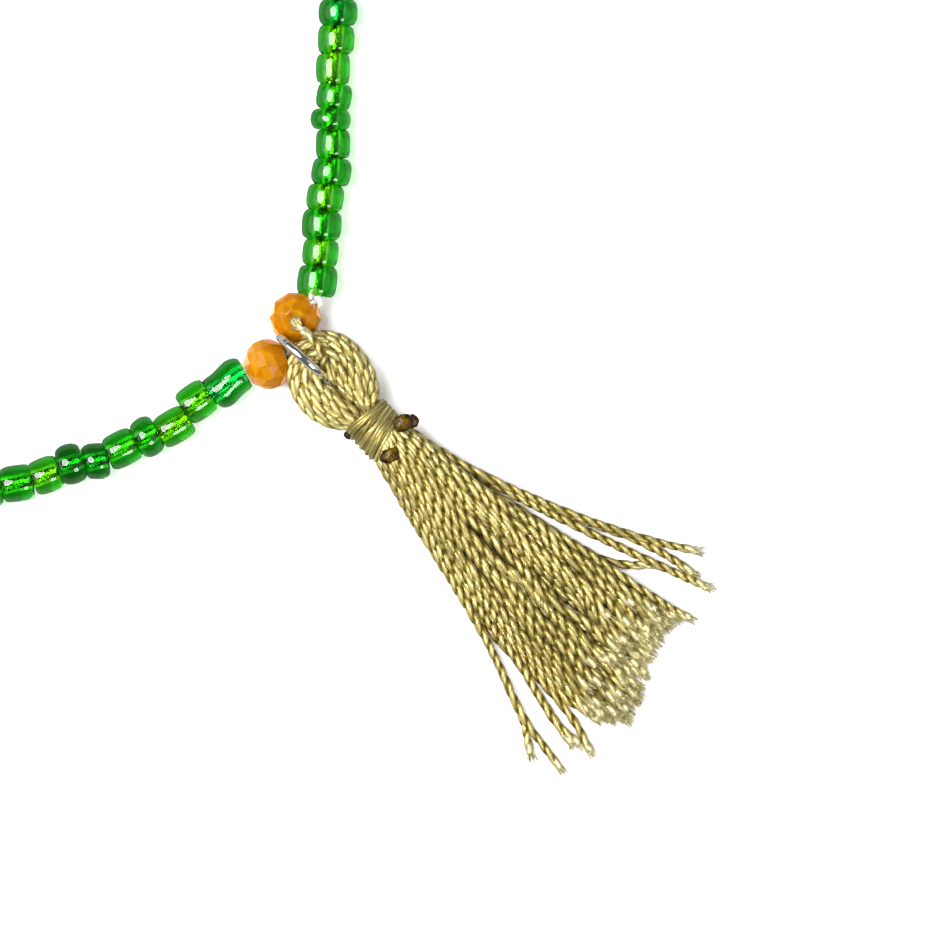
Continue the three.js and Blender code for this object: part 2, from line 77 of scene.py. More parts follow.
# Beads in order, as shares of that length and diameter, sway across the string, roundness and glass.
GREEN, LIME, EMERALD, DEEP = range(4)
BEADS_AFTER_KNOT = [
    (1.08, 1.06, -0.01, 2.8, GREEN), (0.96, 0.96, 0.01, 2.6, LIME), (1.03, 1.06, -0.04, 2.6, GREEN),
    (0.93, 0.99, -0.04, 2.6, LIME), (0.95, 1.06, 0.04, 2.4, GREEN), (1.03, 0.92, 0.05, 2.8, GREEN),
    (0.74, 1.07, -0.03, 2.1, GREEN), (0.91, 0.94, 0.03, 2.5, GREEN), (1.08, 0.91, -0.04, 2.8, LIME),
    (1.01, 0.98, 0.0, 2.5, LIME), (0.92, 1.04, 0.03, 2.3, EMERALD),
]
BEADS_BEFORE_RONDELLE = [
    (1.12, 0.98, 0.02, 2.8, GREEN), (1.03, 0.96, 0.0, 2.6, LIME), (0.92, 1.09, -0.08, 2.1, DEEP),
    (0.87, 0.98, 0.06, 2.2, DEEP), (1.15, 0.96, -0.01, 2.7, GREEN), (0.85, 1.09, -0.01, 2.1, GREEN),
    (1.19, 0.92, 0.09, 2.8, LIME), (1.13, 1.0, -0.1, 2.8, LIME), (1.46, 1.01, 0.0, 3.0, EMERALD),
]
# How far the last bead's middle bulges to one side, as a share of its diameter.
LAST_BEAD_BULGE = -0.045

# Faceted rondelles: diameter, length and hole, then each one's place, heading, rise and spin.
RONDELLE = (4.1, 3.3, 0.6)
RONDELLE_FACETS = 10
UPPER_RONDELLE = (1.88, 2.56, 225.0, 78.0, 0.0)
LOWER_RONDELLE = (-2.14, 1.35, 341.0, 10.0, 18.0)
RONDELLE_RINGS = [
    (-1.0, 0.47, 0.5), (-0.6, 0.84, 0.0), (-0.19, 1.0, 0.5), (0.19, 1.0, 0.5), (0.6, 0.84, 0.0),
    (1.0, 0.47, 0.5),
]

# Jump ring, and how far its middle lies across and along from the origin.
RING_DIAMETER = 5.4
RING_WIRE = 0.7
RING_HEADING = 5.7
RING_LEAN = 1.0
RING_ACROSS = 0.23
RING_ALONG = -0.12

# Tassel
TASSEL_AXIS = 0.7
NECK_MIDDLE = 1.91
# Binding of the neck: where it starts and ends, its radius, and how its turns lean at both ends.
BINDING = (-6.5, -9.35, 2.04)
BINDING_LEAN = (-0.16, 0.6)

# The bundle of threads that makes both lobes of the head, from the neck up the left lobe, through the
# ring and down the right lobe: middle across, along and up, then half its width and half its height.
HEAD_BUNDLE = [
    (0.1, -7.1, 1.91, 0.76, 1.3),
    (-0.02, -6.4, 1.91, 0.92, 1.4),
    (-0.58, -5.3, 1.95, 1.45, 1.85),
    (-1.0, -3.9, 2.0, 1.64, 2.08),
    (-1.12, -2.4, 2.05, 1.5, 2.05),
    (-0.8, -1.35, 2.2, 1.4, 1.85),
    (-0.1, -0.5, 2.4, 1.32, 1.6),
    (0.8, -0.25, 2.45, 1.36, 1.6),
    (1.7, -0.6, 2.3, 1.55, 1.85),
    (2.3, -1.7, 2.1, 1.7, 2.05),
    (2.26, -3.3, 2.0, 1.84, 2.1),
    (1.98, -5.0, 1.95, 1.5, 1.85),
    (1.52, -6.4, 1.91, 0.92, 1.4),
    (1.4, -7.1, 1.91, 0.76, 1.3),
]

# How many threads lie on the head's skin and in its core, and how far each kind stays aside of the
# ring's far side.
HEAD_THREADS, CORE_THREADS = 19, 10
SKIN_ASIDE, CORE_ASIDE = 0.48, 0.1

# The tie thread over the head, with its frayed end on the upper rondelle: points, then the bundles of
# fibres that it splits into, each a way across, along and up.
TIE_THREAD = [
    (0.75, -2.9, 3.3), (0.95, -2.1, 3.75), (1.3, -1.3, 4.15), (1.62, -0.5, 4.35), (1.72, 0.3, 4.4),
    (1.73, 1.0, 4.35), (1.66, 1.45, 4.3),
]
TIE_FIBRES = [
    (0.12, 0.92, 0.02), (-0.2, 0.84, 0.0), (-0.38, 0.52, -0.1), (0.26, 0.72, 0.0), (-0.05, 0.95, 0.0),
]

# Both edges of the skirt's main bundle: how far down it is, left edge and right edge.
SKIRT_EDGES = [
    (-9.3, -0.6, 2.15), (-10.2, -0.95, 2.5), (-11.0, -1.2, 2.85), (-14.0, -1.7, 3.35), (-17.3, -2.2, 4.0),
    (-20.1, -2.5, 4.7), (-23.0, -2.7, 5.6), (-26.7, -2.85, 6.4), (-30.8, -2.9, 7.3),
    (-33.0, -2.8, 7.8), (-35.2, -2.6, 8.5), (-38.5, -2.1, 9.0),
]
# The line of its tips: share across the bundle and how far down.
SKIRT_TIPS = [
    (0.0, -36.3), (0.08, -37.1), (0.2, -37.9), (0.38, -36.7), (0.5, -36.1), (0.62, -35.3),
    (0.75, -34.6), (0.9, -35.0), (1.0, -34.8),
]
# Layers of the skirt from the ground up: strands, margin at each edge, how much shorter its tips are.
SKIRT_LAYERS = [(18, 0.0, 0.0), (17, 0.02, 0.8), (15, 0.04, 1.8), (12, 0.08, 3.2)]
# Places where the strands part and show the dark inside: across and down at both ends, and its width.
PARTINGS = [
    ((1.5, -18.8), (1.6, -22.9), 0.4), ((2.3, -25.7), (2.8, -28.6), 0.48),
    ((2.8, -28.6), (2.3, -31.8), 0.52), ((4.5, -30.0), (4.7, -31.0), 0.44),
]
# Single strands that lie apart from the bundle: points across, down and up.
LOOSE_STRANDS = [
    [(-0.6, -9.4, 1.3), (-1.8, -14.1, 0.9), (-2.8, -19.6, 0.5), (-3.8, -24.5, 0.36), (-4.7, -27.9, 0.36),
     (-5.7, -30.8, 0.36), (-6.35, -32.8, 0.36), (-7.0, -33.9, 0.36), (-7.6, -34.9, 0.36)],
    [(-0.4, -9.4, 1.6), (-1.7, -14.1, 1.4), (-2.7, -19.6, 1.05), (-3.7, -24.5, 0.92), (-4.65, -27.9, 0.88),
     (-5.6, -30.8, 0.8), (-6.2, -33.0, 0.62), (-6.45, -35.2, 0.42), (-6.65, -37.3, 0.36)],
    [(-0.4, -9.4, 1.1), (-1.7, -15.0, 0.8), (-2.6, -20.0, 0.5), (-3.4, -25.5, 0.36), (-3.5, -29.0, 0.36),
     (-3.9, -31.2, 0.36), (-4.4, -34.1, 0.36), (-4.7, -36.4, 0.36)],
    [(-0.2, -9.4, 1.4), (-1.5, -15.0, 1.1), (-2.3, -20.0, 0.9), (-3.1, -25.5, 0.8), (-3.5, -29.4, 0.75),
     (-4.1, -32.2, 0.7), (-4.5, -34.6, 0.5), (-4.3, -36.9, 0.38)],
    [(-0.2, -9.4, 1.2), (-1.3, -15.0, 0.9), (-2.1, -20.0, 0.7), (-2.8, -25.5, 0.5), (-3.1, -30.1, 0.36),
     (-3.2, -33.2, 0.36), (-3.4, -35.5, 0.36), (-4.0, -37.9, 0.36)],
    [(2.4, -9.4, 1.6), (3.4, -13.4, 1.5), (4.5, -16.7, 1.2), (6.2, -20.9, 0.8), (8.1, -24.9, 0.5),
     (9.7, -28.0, 0.36), (10.8, -31.0, 0.36), (11.3, -33.1, 0.36)],
    [(2.2, -9.4, 1.9), (3.3, -13.4, 1.7), (4.6, -16.9, 1.5), (6.35, -21.0, 1.2), (8.3, -25.0, 1.0),
     (10.3, -28.5, 0.6), (11.6, -30.5, 0.36), (12.7, -32.0, 0.36)],
    [(2.0, -9.4, 1.3), (3.6, -14.5, 1.1), (5.1, -19.1, 1.0), (6.2, -22.0, 0.9), (7.6, -25.6, 0.85),
     (9.3, -29.8, 0.8), (10.5, -32.6, 0.55), (11.4, -34.7, 0.36)],
    [(1.8, -9.4, 1.0), (3.2, -15.0, 0.8), (4.6, -20.0, 0.6), (5.8, -24.5, 0.5), (6.8, -27.5, 0.5),
     (8.0, -29.2, 0.42), (9.3, -30.4, 0.38)],
    [(1.6, -9.4, 1.6), (3.1, -15.0, 1.6), (4.4, -20.0, 1.6), (5.6, -24.0, 1.7), (6.7, -28.0, 1.6),
     (7.5, -31.4, 1.3), (8.2, -34.0, 0.9), (8.7, -35.5, 0.6)],
]

# Melted thread ends: middle across, along and up, half sizes, and how much painted amber glow shows on top.
MELTED_ENDS = {
    "melted_end_1": [(2.52, -9.15, 3.35, 0.78, 0.66, 0.5, 0.9), (3.15, -9.55, 2.95, 0.52, 0.5, 0.42, 0.3)],
    "melted_end_2": [(0.13, -10.35, 3.55, 0.8, 0.6, 0.46, 1.0)],
    "melted_end_3": [(-1.32, -6.95, 1.7, 0.26, 0.34, 0.32, 0.0)],
}

# Stretch cord: its radius, and the middle of its knot.
CORD_RADIUS = 0.2
KNOT_MIDDLE = (3.9, 2.65, 2.3)

# Lights in metres: name, place, diameter, the setting that gives the power, and the share of it.
LIGHTS = [
    ("key", (-0.157, 0.214, 0.55), 0.42, "key_power", 1.0),
    ("wide", (-0.5, 0.5, 0.5), 0.9, "wide_power", 1.0),
    ("wide_opposite", (0.55, -0.55, 0.5), 0.9, "wide_power", 0.4),
    ("far_side", (-0.038, -0.537, 0.5), 0.3, "small_power", 1.0),
]
# Middle of the view on the ground and the camera's height over it, in metres.
VIEW_MIDDLE = (0.0109, -0.0392, 0.0)
VIEW_HEIGHT = 0.7


# Sizes and colours that a user may change


def length(name, description, default):
    """A length in metres, from a default in millimetres."""
    return bpy.props.FloatProperty(
        name=name, description=description, default=default * MM, unit="LENGTH", precision=5, min=0.0
    )


def colour(name, description, default):
    """A colour with full opacity, from its red, green and blue."""
    return bpy.props.FloatVectorProperty(
        name=name, description=description, default=(*default, 1.0), subtype="COLOR", size=4, min=0, max=1
    )


def power(name, description, default):
    """A light's power in watts."""
    return bpy.props.FloatProperty(
        name=name, description=description, default=default, unit="POWER", min=0.0
    )


class AnkletBeadSettings(bpy.types.PropertyGroup):
    """Glass beads and rondelles"""

    bore: length("Bore", "Diameter of the lined hole of a seed bead", 0.9)
    green: colour("Green Glass", "What is left of white light after a millimetre", (0.13, 0.68, 0.025))
    lime: colour("Lime Glass", "The same for the lighter beads", (0.27, 0.72, 0.025))
    emerald: colour("Emerald Glass", "The same for the bluer beads", (0.03, 0.66, 0.2))
    deep: colour("Deep Glass", "The same for the darkest beads", (0.03, 0.58, 0.08))
    orange: colour("Orange Glass", "Colour of the faceted rondelles", (0.46, 0.152, 0.0))
    # pale colour painted on the facets that are seen at a slant, as a grazing reflection
    lustre: colour("Lustre", "Pale lustre on the rondelles' facets", (1.0, 0.54, 0.26))


class AnkletThreadSettings(bpy.types.PropertyGroup):
    """Silk thread, binding and stretch cord"""

    strand: length("Strand", "Diameter of a twisted silk strand", 0.72)
    pitch: length("Ply Pitch", "Length over which the plies turn once round the strand", 2.4)
    winding: length("Winding", "Diameter of the thread that is wound round the neck", 0.31)
    # the crests take the light colour; the dark colour is painted shade in the grooves and also the dark of
    # uneven tone
    light: colour("Light Silk", "Colour on the crests of the plies", (0.92, 0.78, 0.32))
    dark: colour("Dark Silk", "Colour in the grooves between the plies", (0.15, 0.108, 0.008))
    frayed: colour("Frayed Silk", "Colour of the cut ends", (0.74, 0.68, 0.38))


class AnkletStageSettings(bpy.types.PropertyGroup):
    """Floor, light and camera"""

    key_power: power("Key Light", "Power of the main soft light", 6.0)
    wide_power: power("Wide Light", "Power of the wide light behind the key", 2.6)
    small_power: power("Small Light", "Power of the light on the far side", 2.5)
    view_width: length("View Width", "Width of ground that the camera sees", 73.4)


# Curves


def evenly(line, steps):
    """The same line with even spacing: its points are read off at equal shares of the summed length."""
    reach = np.concatenate([[0.0], np.cumsum(np.linalg.norm(np.diff(line, axis=0), axis=1))])
    wanted = np.linspace(0, reach[-1], steps + 1)
    return np.column_stack([np.interp(wanted, reach, line[:, k]) for k in range(line.shape[1])])


def smooth_line(points, steps):
    """A smooth line through the points. Each stretch is a cubic with the slopes of its two ends, which
    weigh the neighbouring stretches by the square root of their lengths; it is then spaced evenly."""
    p = np.asarray(points, float)
    p = np.vstack([2 * p[0] - p[1], p, 2 * p[-1] - p[-2]])
    d = np.sqrt(np.linalg.norm(np.diff(p, axis=0), axis=1))[:, None]
    before, start, end, after = p[:-3], p[1:-2], p[2:-1], p[3:]
    d0, d1, d2 = d[:-2], d[1:-1], d[2:]
    leave = ((start - before) / d0 - (end - before) / (d0 + d1) + (end - start) / d1) * d1
    reach = ((end - start) / d1 - (after - start) / (d1 + d2) + (after - end) / d2) * d1
    t = np.linspace(0, 1, 24, endpoint=False)[None, :, None]
    start, end, leave, reach = (x[:, None] for x in (start, end, leave, reach))
    line = (
        (2 * t**3 - 3 * t**2 + 1) * start
        + (t**3 - 2 * t**2 + t) * leave
        + (3 * t**2 - 2 * t**3) * end
        + (t**3 - t**2) * reach
    )
    return evenly(np.vstack([line.reshape(-1, p.shape[1]), p[-2]]), steps)


def unit(vectors):
    """Vectors over their own lengths."""
    return vectors / np.maximum(np.linalg.norm(vectors, axis=-1, keepdims=True), 1e-9)


def directions(line, above=UP):
    """Along, across and up at each point of a line: along is its slope, across is at right angles to it
    and to what is above, and up is at right angles to both."""
    along = unit(np.gradient(line, axis=0))
    across = unit(np.cross(along, above) + np.array([1e-6, 0, 0]))
    return along, across, np.cross(across, along)


def wander(share, amount, random, waves=(1.3, 2.9)):
    """A slow drift along a line: a sum of sines of its share with chance phases, in two directions."""
    phase = random.uniform(0, 2 * math.pi, (2, len(waves)))
    turns = np.outer(share, waves)[:, None, :] * 2 * math.pi + phase[None]
    return amount * np.sin(turns).sum(axis=2) / len(waves)


def smooth_step(low, high, x):
    """0 below low, 1 above high and an even slope between: three times the square less twice the cube."""
    t = np.clip((x - low) / (high - low), 0, 1)
    return t * t * (3 - 2 * t)


# Meshes


class Skins:
    """Gathers skins, each a set of points with its faces and values, until they make one mesh."""

    def __init__(self):
        self.points, self.quads, self.triangles = [], [], []
        self.values, self.kinds, self.count = {}, [], 0

    def add(self, points, quads, triangles=None, kind=0, **values):
        """Adds points with faces that count from 0, one material number, and values for each point."""
        triangles = np.zeros((0, 3), int) if triangles is None else triangles
        self.quads.append(quads + self.count)
        self.triangles.append(triangles + self.count)
        self.kinds.append((np.full(len(quads), kind), np.full(len(triangles), kind)))
        self.points.append(points)
        self.count += len(points)
        for name, value in values.items():
            self.values.setdefault(name, []).append(np.asarray(value, float))

    def mesh(self, name):
        """The mesh in metres at its place, with smooth faces."""
        points = np.concatenate(self.points) * MM + RING_MIDDLE
        quads, triangles = np.concatenate(self.quads), np.concatenate(self.triangles)
        corners = np.concatenate([quads.ravel(), triangles.ravel()]).astype(np.int32)
        starts = np.concatenate(
            [np.arange(len(quads)) * 4, len(quads) * 4 + np.arange(len(triangles)) * 3]
        ).astype(np.int32)
        kinds = np.concatenate([k[0] for k in self.kinds] + [k[1] for k in self.kinds]).astype(np.int32)
        mesh = bpy.data.meshes.new(name)
        mesh.vertices.add(len(points))
        mesh.vertices.foreach_set("co", points.ravel())
        mesh.loops.add(len(corners))
        mesh.loops.foreach_set("vertex_index", corners)
        mesh.polygons.add(len(starts))
        mesh.polygons.foreach_set("loop_start", starts)
        mesh.polygons.foreach_set("material_index", kinds)
        mesh.polygons.foreach_set("use_smooth", np.ones(len(starts), bool))
        for key, parts in self.values.items():
            value = np.concatenate(parts)
            form, field = ("FLOAT", "value") if value.ndim == 1 else ("FLOAT_VECTOR", "vector")
            mesh.attributes.new(key, form, "POINT").data.foreach_set(field, value.ravel())
        mesh.update(calc_edges=True)
        if mesh.validate():
            raise RuntimeError(f"{name} has faulty faces")
        return mesh


def band_faces(rows, columns, closed=False):
    """Four-sided faces between rows of points that run round, and from the last row to the first if
    the skin is closed. They face away from the line that carries the rows."""
    bands = rows if closed else rows - 1
    row = np.arange(bands)[:, None]
    column = np.arange(columns)[None, :]
    after, beside = (row + 1) % rows, (column + 1) % columns
    faces = [row * columns + column, after * columns + column, after * columns + beside, row * columns + beside]
    return np.stack(faces, axis=-1).reshape(-1, 4)


def cap_faces(rows, columns):
    """Fans of triangles that close the first and the last row on two poles, which come after the rows."""
    column = np.arange(columns)
    beside = (column + 1) % columns
    first, last = rows * columns, (rows - 1) * columns
    start = np.stack([np.full(columns, first), column, beside], axis=1)
    end = np.stack([np.full(columns, first + 1), last + beside, last + column], axis=1)
    return np.concatenate([start, end])


def add_tube(skins, line, radius, angle, above=UP, **values):
    """A skin carried along a line: each point is the line's point plus a radius times the cosine of an
    angle across and its sine up, and none is under the ground. Radius and angle have a row for each
    point of the line. Values have the same rows, and those at the poles repeat the end rows' first."""
    rows, columns = radius.shape
    along, across, up = directions(line, above)
    ring = across[:, None] * np.cos(angle)[..., None] + up[:, None] * np.sin(angle)[..., None]
    points = (line[:, None] + radius[..., None] * ring).reshape(-1, 3)
    ends = line[[0, -1]] + along[[0, -1]] * radius[[0, -1], 0][:, None] * np.array([[-0.3], [0.3]])
    points = np.vstack([points, ends])
    points[:, 2] = np.maximum(points[:, 2], 0.004)
    spread = {}
    for name, value in values.items():
        value = np.broadcast_to(value, (rows, columns, *np.shape(value)[2:]))
        flat = value.reshape(rows * columns, *value.shape[2:])
        spread[name] = np.concatenate([flat, value[[0, -1], 0]])
    skins.add(points, band_faces(rows, columns), cap_faces(rows, columns), **spread)


def round_tube(skins, line, radius, sides, **values):
    """A plain round tube along a line. The radius may change from point to point."""
    radius = np.broadcast_to(radius, len(line))[:, None] * np.ones(sides)
    angle = np.broadcast_to(np.arange(sides) / sides * 2 * math.pi, radius.shape)
    add_tube(skins, line, radius, angle, **values)


def add_strand(skins, line, strand, pitch, random, sides=18, fray=True):
    """A two-ply twisted strand. Its section is a circle with two grooves: the radius falls by 38 percent
    with the 2.2nd power of the share from a ply's middle to the groove beside it. The section turns
    once in each pitch, to the right. At a cut end the plies open a little and turn pale."""
    reach = np.linalg.norm(np.diff(line, axis=0), axis=1).sum()
    along = np.linspace(0, reach, len(line))
    base = np.arange(sides) / sides * 2 * math.pi
    groove = np.abs((base + math.pi / 2) % math.pi - math.pi / 2) / (math.pi / 2)
    section = strand / 2 * (1 - 0.38 * groove**2.2)
    slow = wander(along / reach, 1.5, random, (1.1, 2.3, 4.1))[:, 0]
    turn = -along / pitch * 2 * math.pi + random.uniform(0, 2 * math.pi) + slow
    opening = smooth_step(reach - strand * 2.8, reach, along) if fray else np.zeros_like(along)
    radius = section[None, :] * (1 + 0.08 * opening[:, None])
    radius = radius * (1 + 0.04 * np.sin(along / pitch * 5 + random.uniform(0, 6)))[:, None]
    thread = np.zeros((len(line), sides, 3))
    # the groove share goes to the material as the mask of painted groove shade
    thread[..., 0] = groove
    thread[..., 1] = along[:, None]
    thread[..., 2] = random.uniform()
    add_tube(skins, line, radius, base[None, :] + turn[:, None], thread=thread, fray=opening[:, None])


def add_fibres(skins, tips, headings, count, strand, random, reach=1.0):
    """Short fibres that stand out of cut ends like a brush. Each is a thin four-sided tube on a line that
    starts within the strand and bends away: start plus heading times share plus spread times share
    squared."""
    share = np.linspace(0, 1, 4)[:, None]
    for tip, heading in zip(tips, headings):
        heading = unit(heading)
        for _ in range(count):
            side = random.normal(0, 1, 3)
            side -= heading * side.dot(heading)
            start = tip + side / np.linalg.norm(side) * strand * 0.36 * math.sqrt(random.uniform())
            long = reach * random.uniform(0.5, 1.2)
            line = start + heading * (share - 0.55) * long + side * share**2 * strand * 0.16
            line[:, 2] = np.maximum(line[:, 2], 0.05)
            thread = np.array([random.uniform(0, 0.9), 0.0, random.uniform()])
            fray = np.full((1, 1), random.uniform(0.3, 1.0))
            round_tube(skins, line, 0.044 - 0.022 * share[:, 0], 4, thread=thread[None, None], fray=fray)


def new_piece(name, skins, materials, replaced=()):
    """A piece of the anklet from gathered skins, riding on the body, with its materials."""
    piece = bpy.data.objects.new(name, skins.mesh(name))
    bpy.context.scene.collection.objects.link(piece)
    for material in materials:
        piece.data.materials.append(material)
    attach(piece, BODY)
    if replaced:
        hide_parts(*replaced)
    return piece


# Materials


def new_material(name):
    """A material with its nodes, its links and its surface shader."""
    material = bpy.data.materials.new(name)
    material.use_nodes = True
    tree = material.node_tree
    return material, tree, tree.nodes["Principled BSDF"]


def set_surface(surface, **values):
    """Sets plain values on the surface shader. Underscores stand for spaces."""
    for name, value in values.items():
        surface.inputs[name.replace("_", " ")].default_value = value


def node(tree, kind, inputs=(), **settings):
    """A node with its settings, and its inputs by name or number: a socket is linked, a value is set."""
    made = tree.nodes.new(kind)
    for name, value in settings.items():
        setattr(made, name, value)
    for name, value in dict(inputs).items():
        if isinstance(value, bpy.types.NodeSocket):
            tree.links.new(value, made.inputs[name])
        else:
            made.inputs[name].default_value = value
    return made


def blend_of(tree, factor, first, second):
    """A mix of two colours by a factor."""
    return node(tree, "ShaderNodeMix", {0: factor, 6: first, 7: second}, data_type="RGBA").outputs[2]


def product(tree, first, second):
    """Two values multiplied."""
    return node(tree, "ShaderNodeMath", {0: first, 1: second}, operation="MULTIPLY").outputs[0]


def ranged(tree, value, low, high, new_low=0.0, new_high=1.0):
    """A value carried from one range to another, and kept within it."""
    made = node(
        tree, "ShaderNodeMapRange",
        {0: value, 1: low, 2: high, 3: new_low, 4: new_high},
        interpolation_type="SMOOTHSTEP",
    )
    return made.outputs[0]


def group_of(name, inputs, outputs):
    """An empty node group with named number sockets, and the nodes that hold its inputs and outputs."""
    group = bpy.data.node_groups.new(name, "ShaderNodeTree")
    for socket, default in inputs.items():
        made = group.interface.new_socket(socket, in_out="INPUT", socket_type="NodeSocketFloat")
        made.default_value = default
    for socket in outputs:
        group.interface.new_socket(socket, in_out="OUTPUT", socket_type="NodeSocketFloat")
    return group, group.nodes.new("NodeGroupInput"), group.nodes.new("NodeGroupOutput")


def mottle_group():
    """Uneven patches: noise at the piece's own coordinates, sharpened. Gives a mask from 0 to 1."""
    if "Mottle" in bpy.data.node_groups:
        return bpy.data.node_groups["Mottle"]
    group, given, result = group_of("Mottle", {"Scale": 800.0, "Low": 0.35, "High": 0.65}, ["Mask"])
    place = node(group, "ShaderNodeTexCoord").outputs["Object"]
    noise = node(
        group, "ShaderNodeTexNoise", {"Vector": place, "Scale": given.outputs["Scale"], "Detail": 3.0}
    )
    mask = ranged(group, noise.outputs[0], given.outputs["Low"], given.outputs["High"])
    group.links.new(mask, result.inputs["Mask"])
    return group


def fibre_group():
    """Fine fibres that follow the plies: noise stretched along the thread, from its ply and length
    values. Gives a shade and a height, both from 0 to 1, the groove between the plies as the mask of
    painted groove shade, and a tone that each thread has for itself."""
    if "Fibres" in bpy.data.node_groups:
        return bpy.data.node_groups["Fibres"]
    group, given, result = group_of(
        "Fibres", {"Across": 9.0, "Along": 1.2}, ["Shade", "Height", "Groove", "Tone"]
    )
    thread = node(group, "ShaderNodeAttribute", attribute_name="thread")
    parts = node(group, "ShaderNodeSeparateXYZ", {0: thread.outputs["Vector"]})
    across = product(group, parts.outputs[0], given.outputs["Across"])
    along = product(group, parts.outputs[1], given.outputs["Along"])
    tone = product(group, parts.outputs[2], 97.0)
    place = node(group, "ShaderNodeCombineXYZ", {0: across, 1: along, 2: tone})
    fine = node(group, "ShaderNodeTexNoise", {"Vector": place.outputs[0], "Scale": 1.0, "Detail": 3.0})
    shade = ranged(group, fine.outputs[0], 0.3, 0.7)
    group.links.new(shade, result.inputs["Shade"])
    group.links.new(fine.outputs[0], result.inputs["Height"])
    group.links.new(parts.outputs[0], result.inputs["Groove"])
    group.links.new(parts.outputs[2], result.inputs["Tone"])
    return group


def placed_group(tree, group, **values):
    """A node group placed in a material, with its own values."""
    made = tree.nodes.new("ShaderNodeGroup")
    made.node_tree = group
    for name, value in values.items():
        made.inputs[name].default_value = value
    return made


def mottled(tree, scale, low, high):
    """The mask of uneven patches, at a scale and sharpened between two values."""
    return placed_group(tree, mottle_group(), Scale=scale, Low=low, High=high).outputs[0]


def bump(tree, height, strength, distance, surface):
    """Raises the surface by a height, in metres at full strength."""
    made = node(tree, "ShaderNodeBump", {"Height": height, "Strength": strength, "Distance": distance})
    tree.links.new(made.outputs[0], surface.inputs["Normal"])


def glass_material(name, tint):
    """Clear tinted glass. The tint is what is left of white light after a millimetre, so the absorption
    colour is one plus a quarter of its logarithm, at four per millimetre. Light also passes straight
    through to what lies behind, as a tinted shadow."""
    material, tree, surface = new_material(name)
    pale = [1 - (1 - c) * 0.2 for c in tint[:3]]
    set_surface(surface, Base_Color=(*pale, 1), IOR=1.52, Transmission_Weight=1.0, Specular_IOR_Level=0.45)
    mottle = mottled(tree, 900.0, 0.3, 0.8)
    roughness = ranged(tree, mottle, 0, 1, 0.0, 0.025)
    tree.links.new(roughness, surface.inputs["Roughness"])
    left = [1 + math.log(max(c, 0.02)) / 4 for c in tint[:3]]
    depth = node(tree, "ShaderNodeVolumeAbsorption", {"Color": (*left, 1), "Density": 4 / MM})
    output = tree.nodes["Material Output"]
    tree.links.new(depth.outputs[0], output.inputs["Volume"])
    clear = node(tree, "ShaderNodeBsdfTransparent", {"Color": (0.7, 0.5, 0.7, 1)})
    path = node(tree, "ShaderNodeLightPath")
    mixed = node(
        tree, "ShaderNodeMixShader",
        {0: path.outputs["Is Shadow Ray"], 1: surface.outputs[0], 2: clear.outputs[0]},
    )
    tree.links.new(mixed.outputs[0], output.inputs["Surface"])
    return material


def worn_metal(name, patches, grain, bright, worn, dents):
    """Bright metal, duller and rougher in worn patches, with fine dents. Patches and grain each give a
    scale, a low and a high value, and dents a strength and a depth in metres."""
    material, tree, surface = new_material(name)
    mottle, fine = mottled(tree, *patches), mottled(tree, *grain)
    tree.links.new(blend_of(tree, mottle, bright, worn), surface.inputs["Base Color"])
    tree.links.new(ranged(tree, mottle, 0, 1, 0.06, 0.2), surface.inputs["Roughness"])
    set_surface(surface, Metallic=1.0)
    bump(tree, fine, *dents, surface)
    return material


def rondelle_material(settings):
    """Opal orange glass, cut and polished, with cloudy depth and a pale painted reflection that shows at a
    slant.
    """
    material, tree, surface = new_material("opal_orange_glass")
    cloud = mottled(tree, 420.0, 0.3, 0.7)
    fine = mottled(tree, 2200.0, 0.35, 0.7)
    deep = [c * 0.74 for c in settings.orange[:3]]
    body = blend_of(tree, cloud, (*deep, 1), settings.orange)
    body = blend_of(tree, ranged(tree, fine, 0, 1, 0, 0.2), body, (0.62, 0.25, 0.0, 1))
    facet = node(tree, "ShaderNodeAttribute", attribute_name="facet").outputs["Fac"]
    body = blend_of(tree, ranged(tree, facet, 0.3, 1.0, 0.0, 0.32), body, (0.6, 0.31, 0.01, 1))
    # painted reflection: the pale colour is blended in where the facets are seen at a slant, more on some
    # facets than on others
    facing = node(tree, "ShaderNodeLayerWeight", {"Blend": 0.32}).outputs["Facing"]
    slant = ranged(tree, facing, 0.36, 0.48)
    lustre = product(tree, slant, ranged(tree, facet, 0.1, 0.7, 0.4, 1.0))
    body = blend_of(tree, lustre, body, settings.lustre)
    tree.links.new(body, surface.inputs["Base Color"])
    tree.links.new(ranged(tree, fine, 0, 1, 0.09, 0.18), surface.inputs["Roughness"])
    set_surface(
        surface, IOR=1.4, Subsurface_Weight=0.12, Subsurface_Scale=0.0012, Specular_IOR_Level=0.4,
    )
    surface.inputs["Subsurface Radius"].default_value = (1.0, 0.5, 0.15)
    bump(tree, cloud, 0.2, 0.00002, surface)
    return material


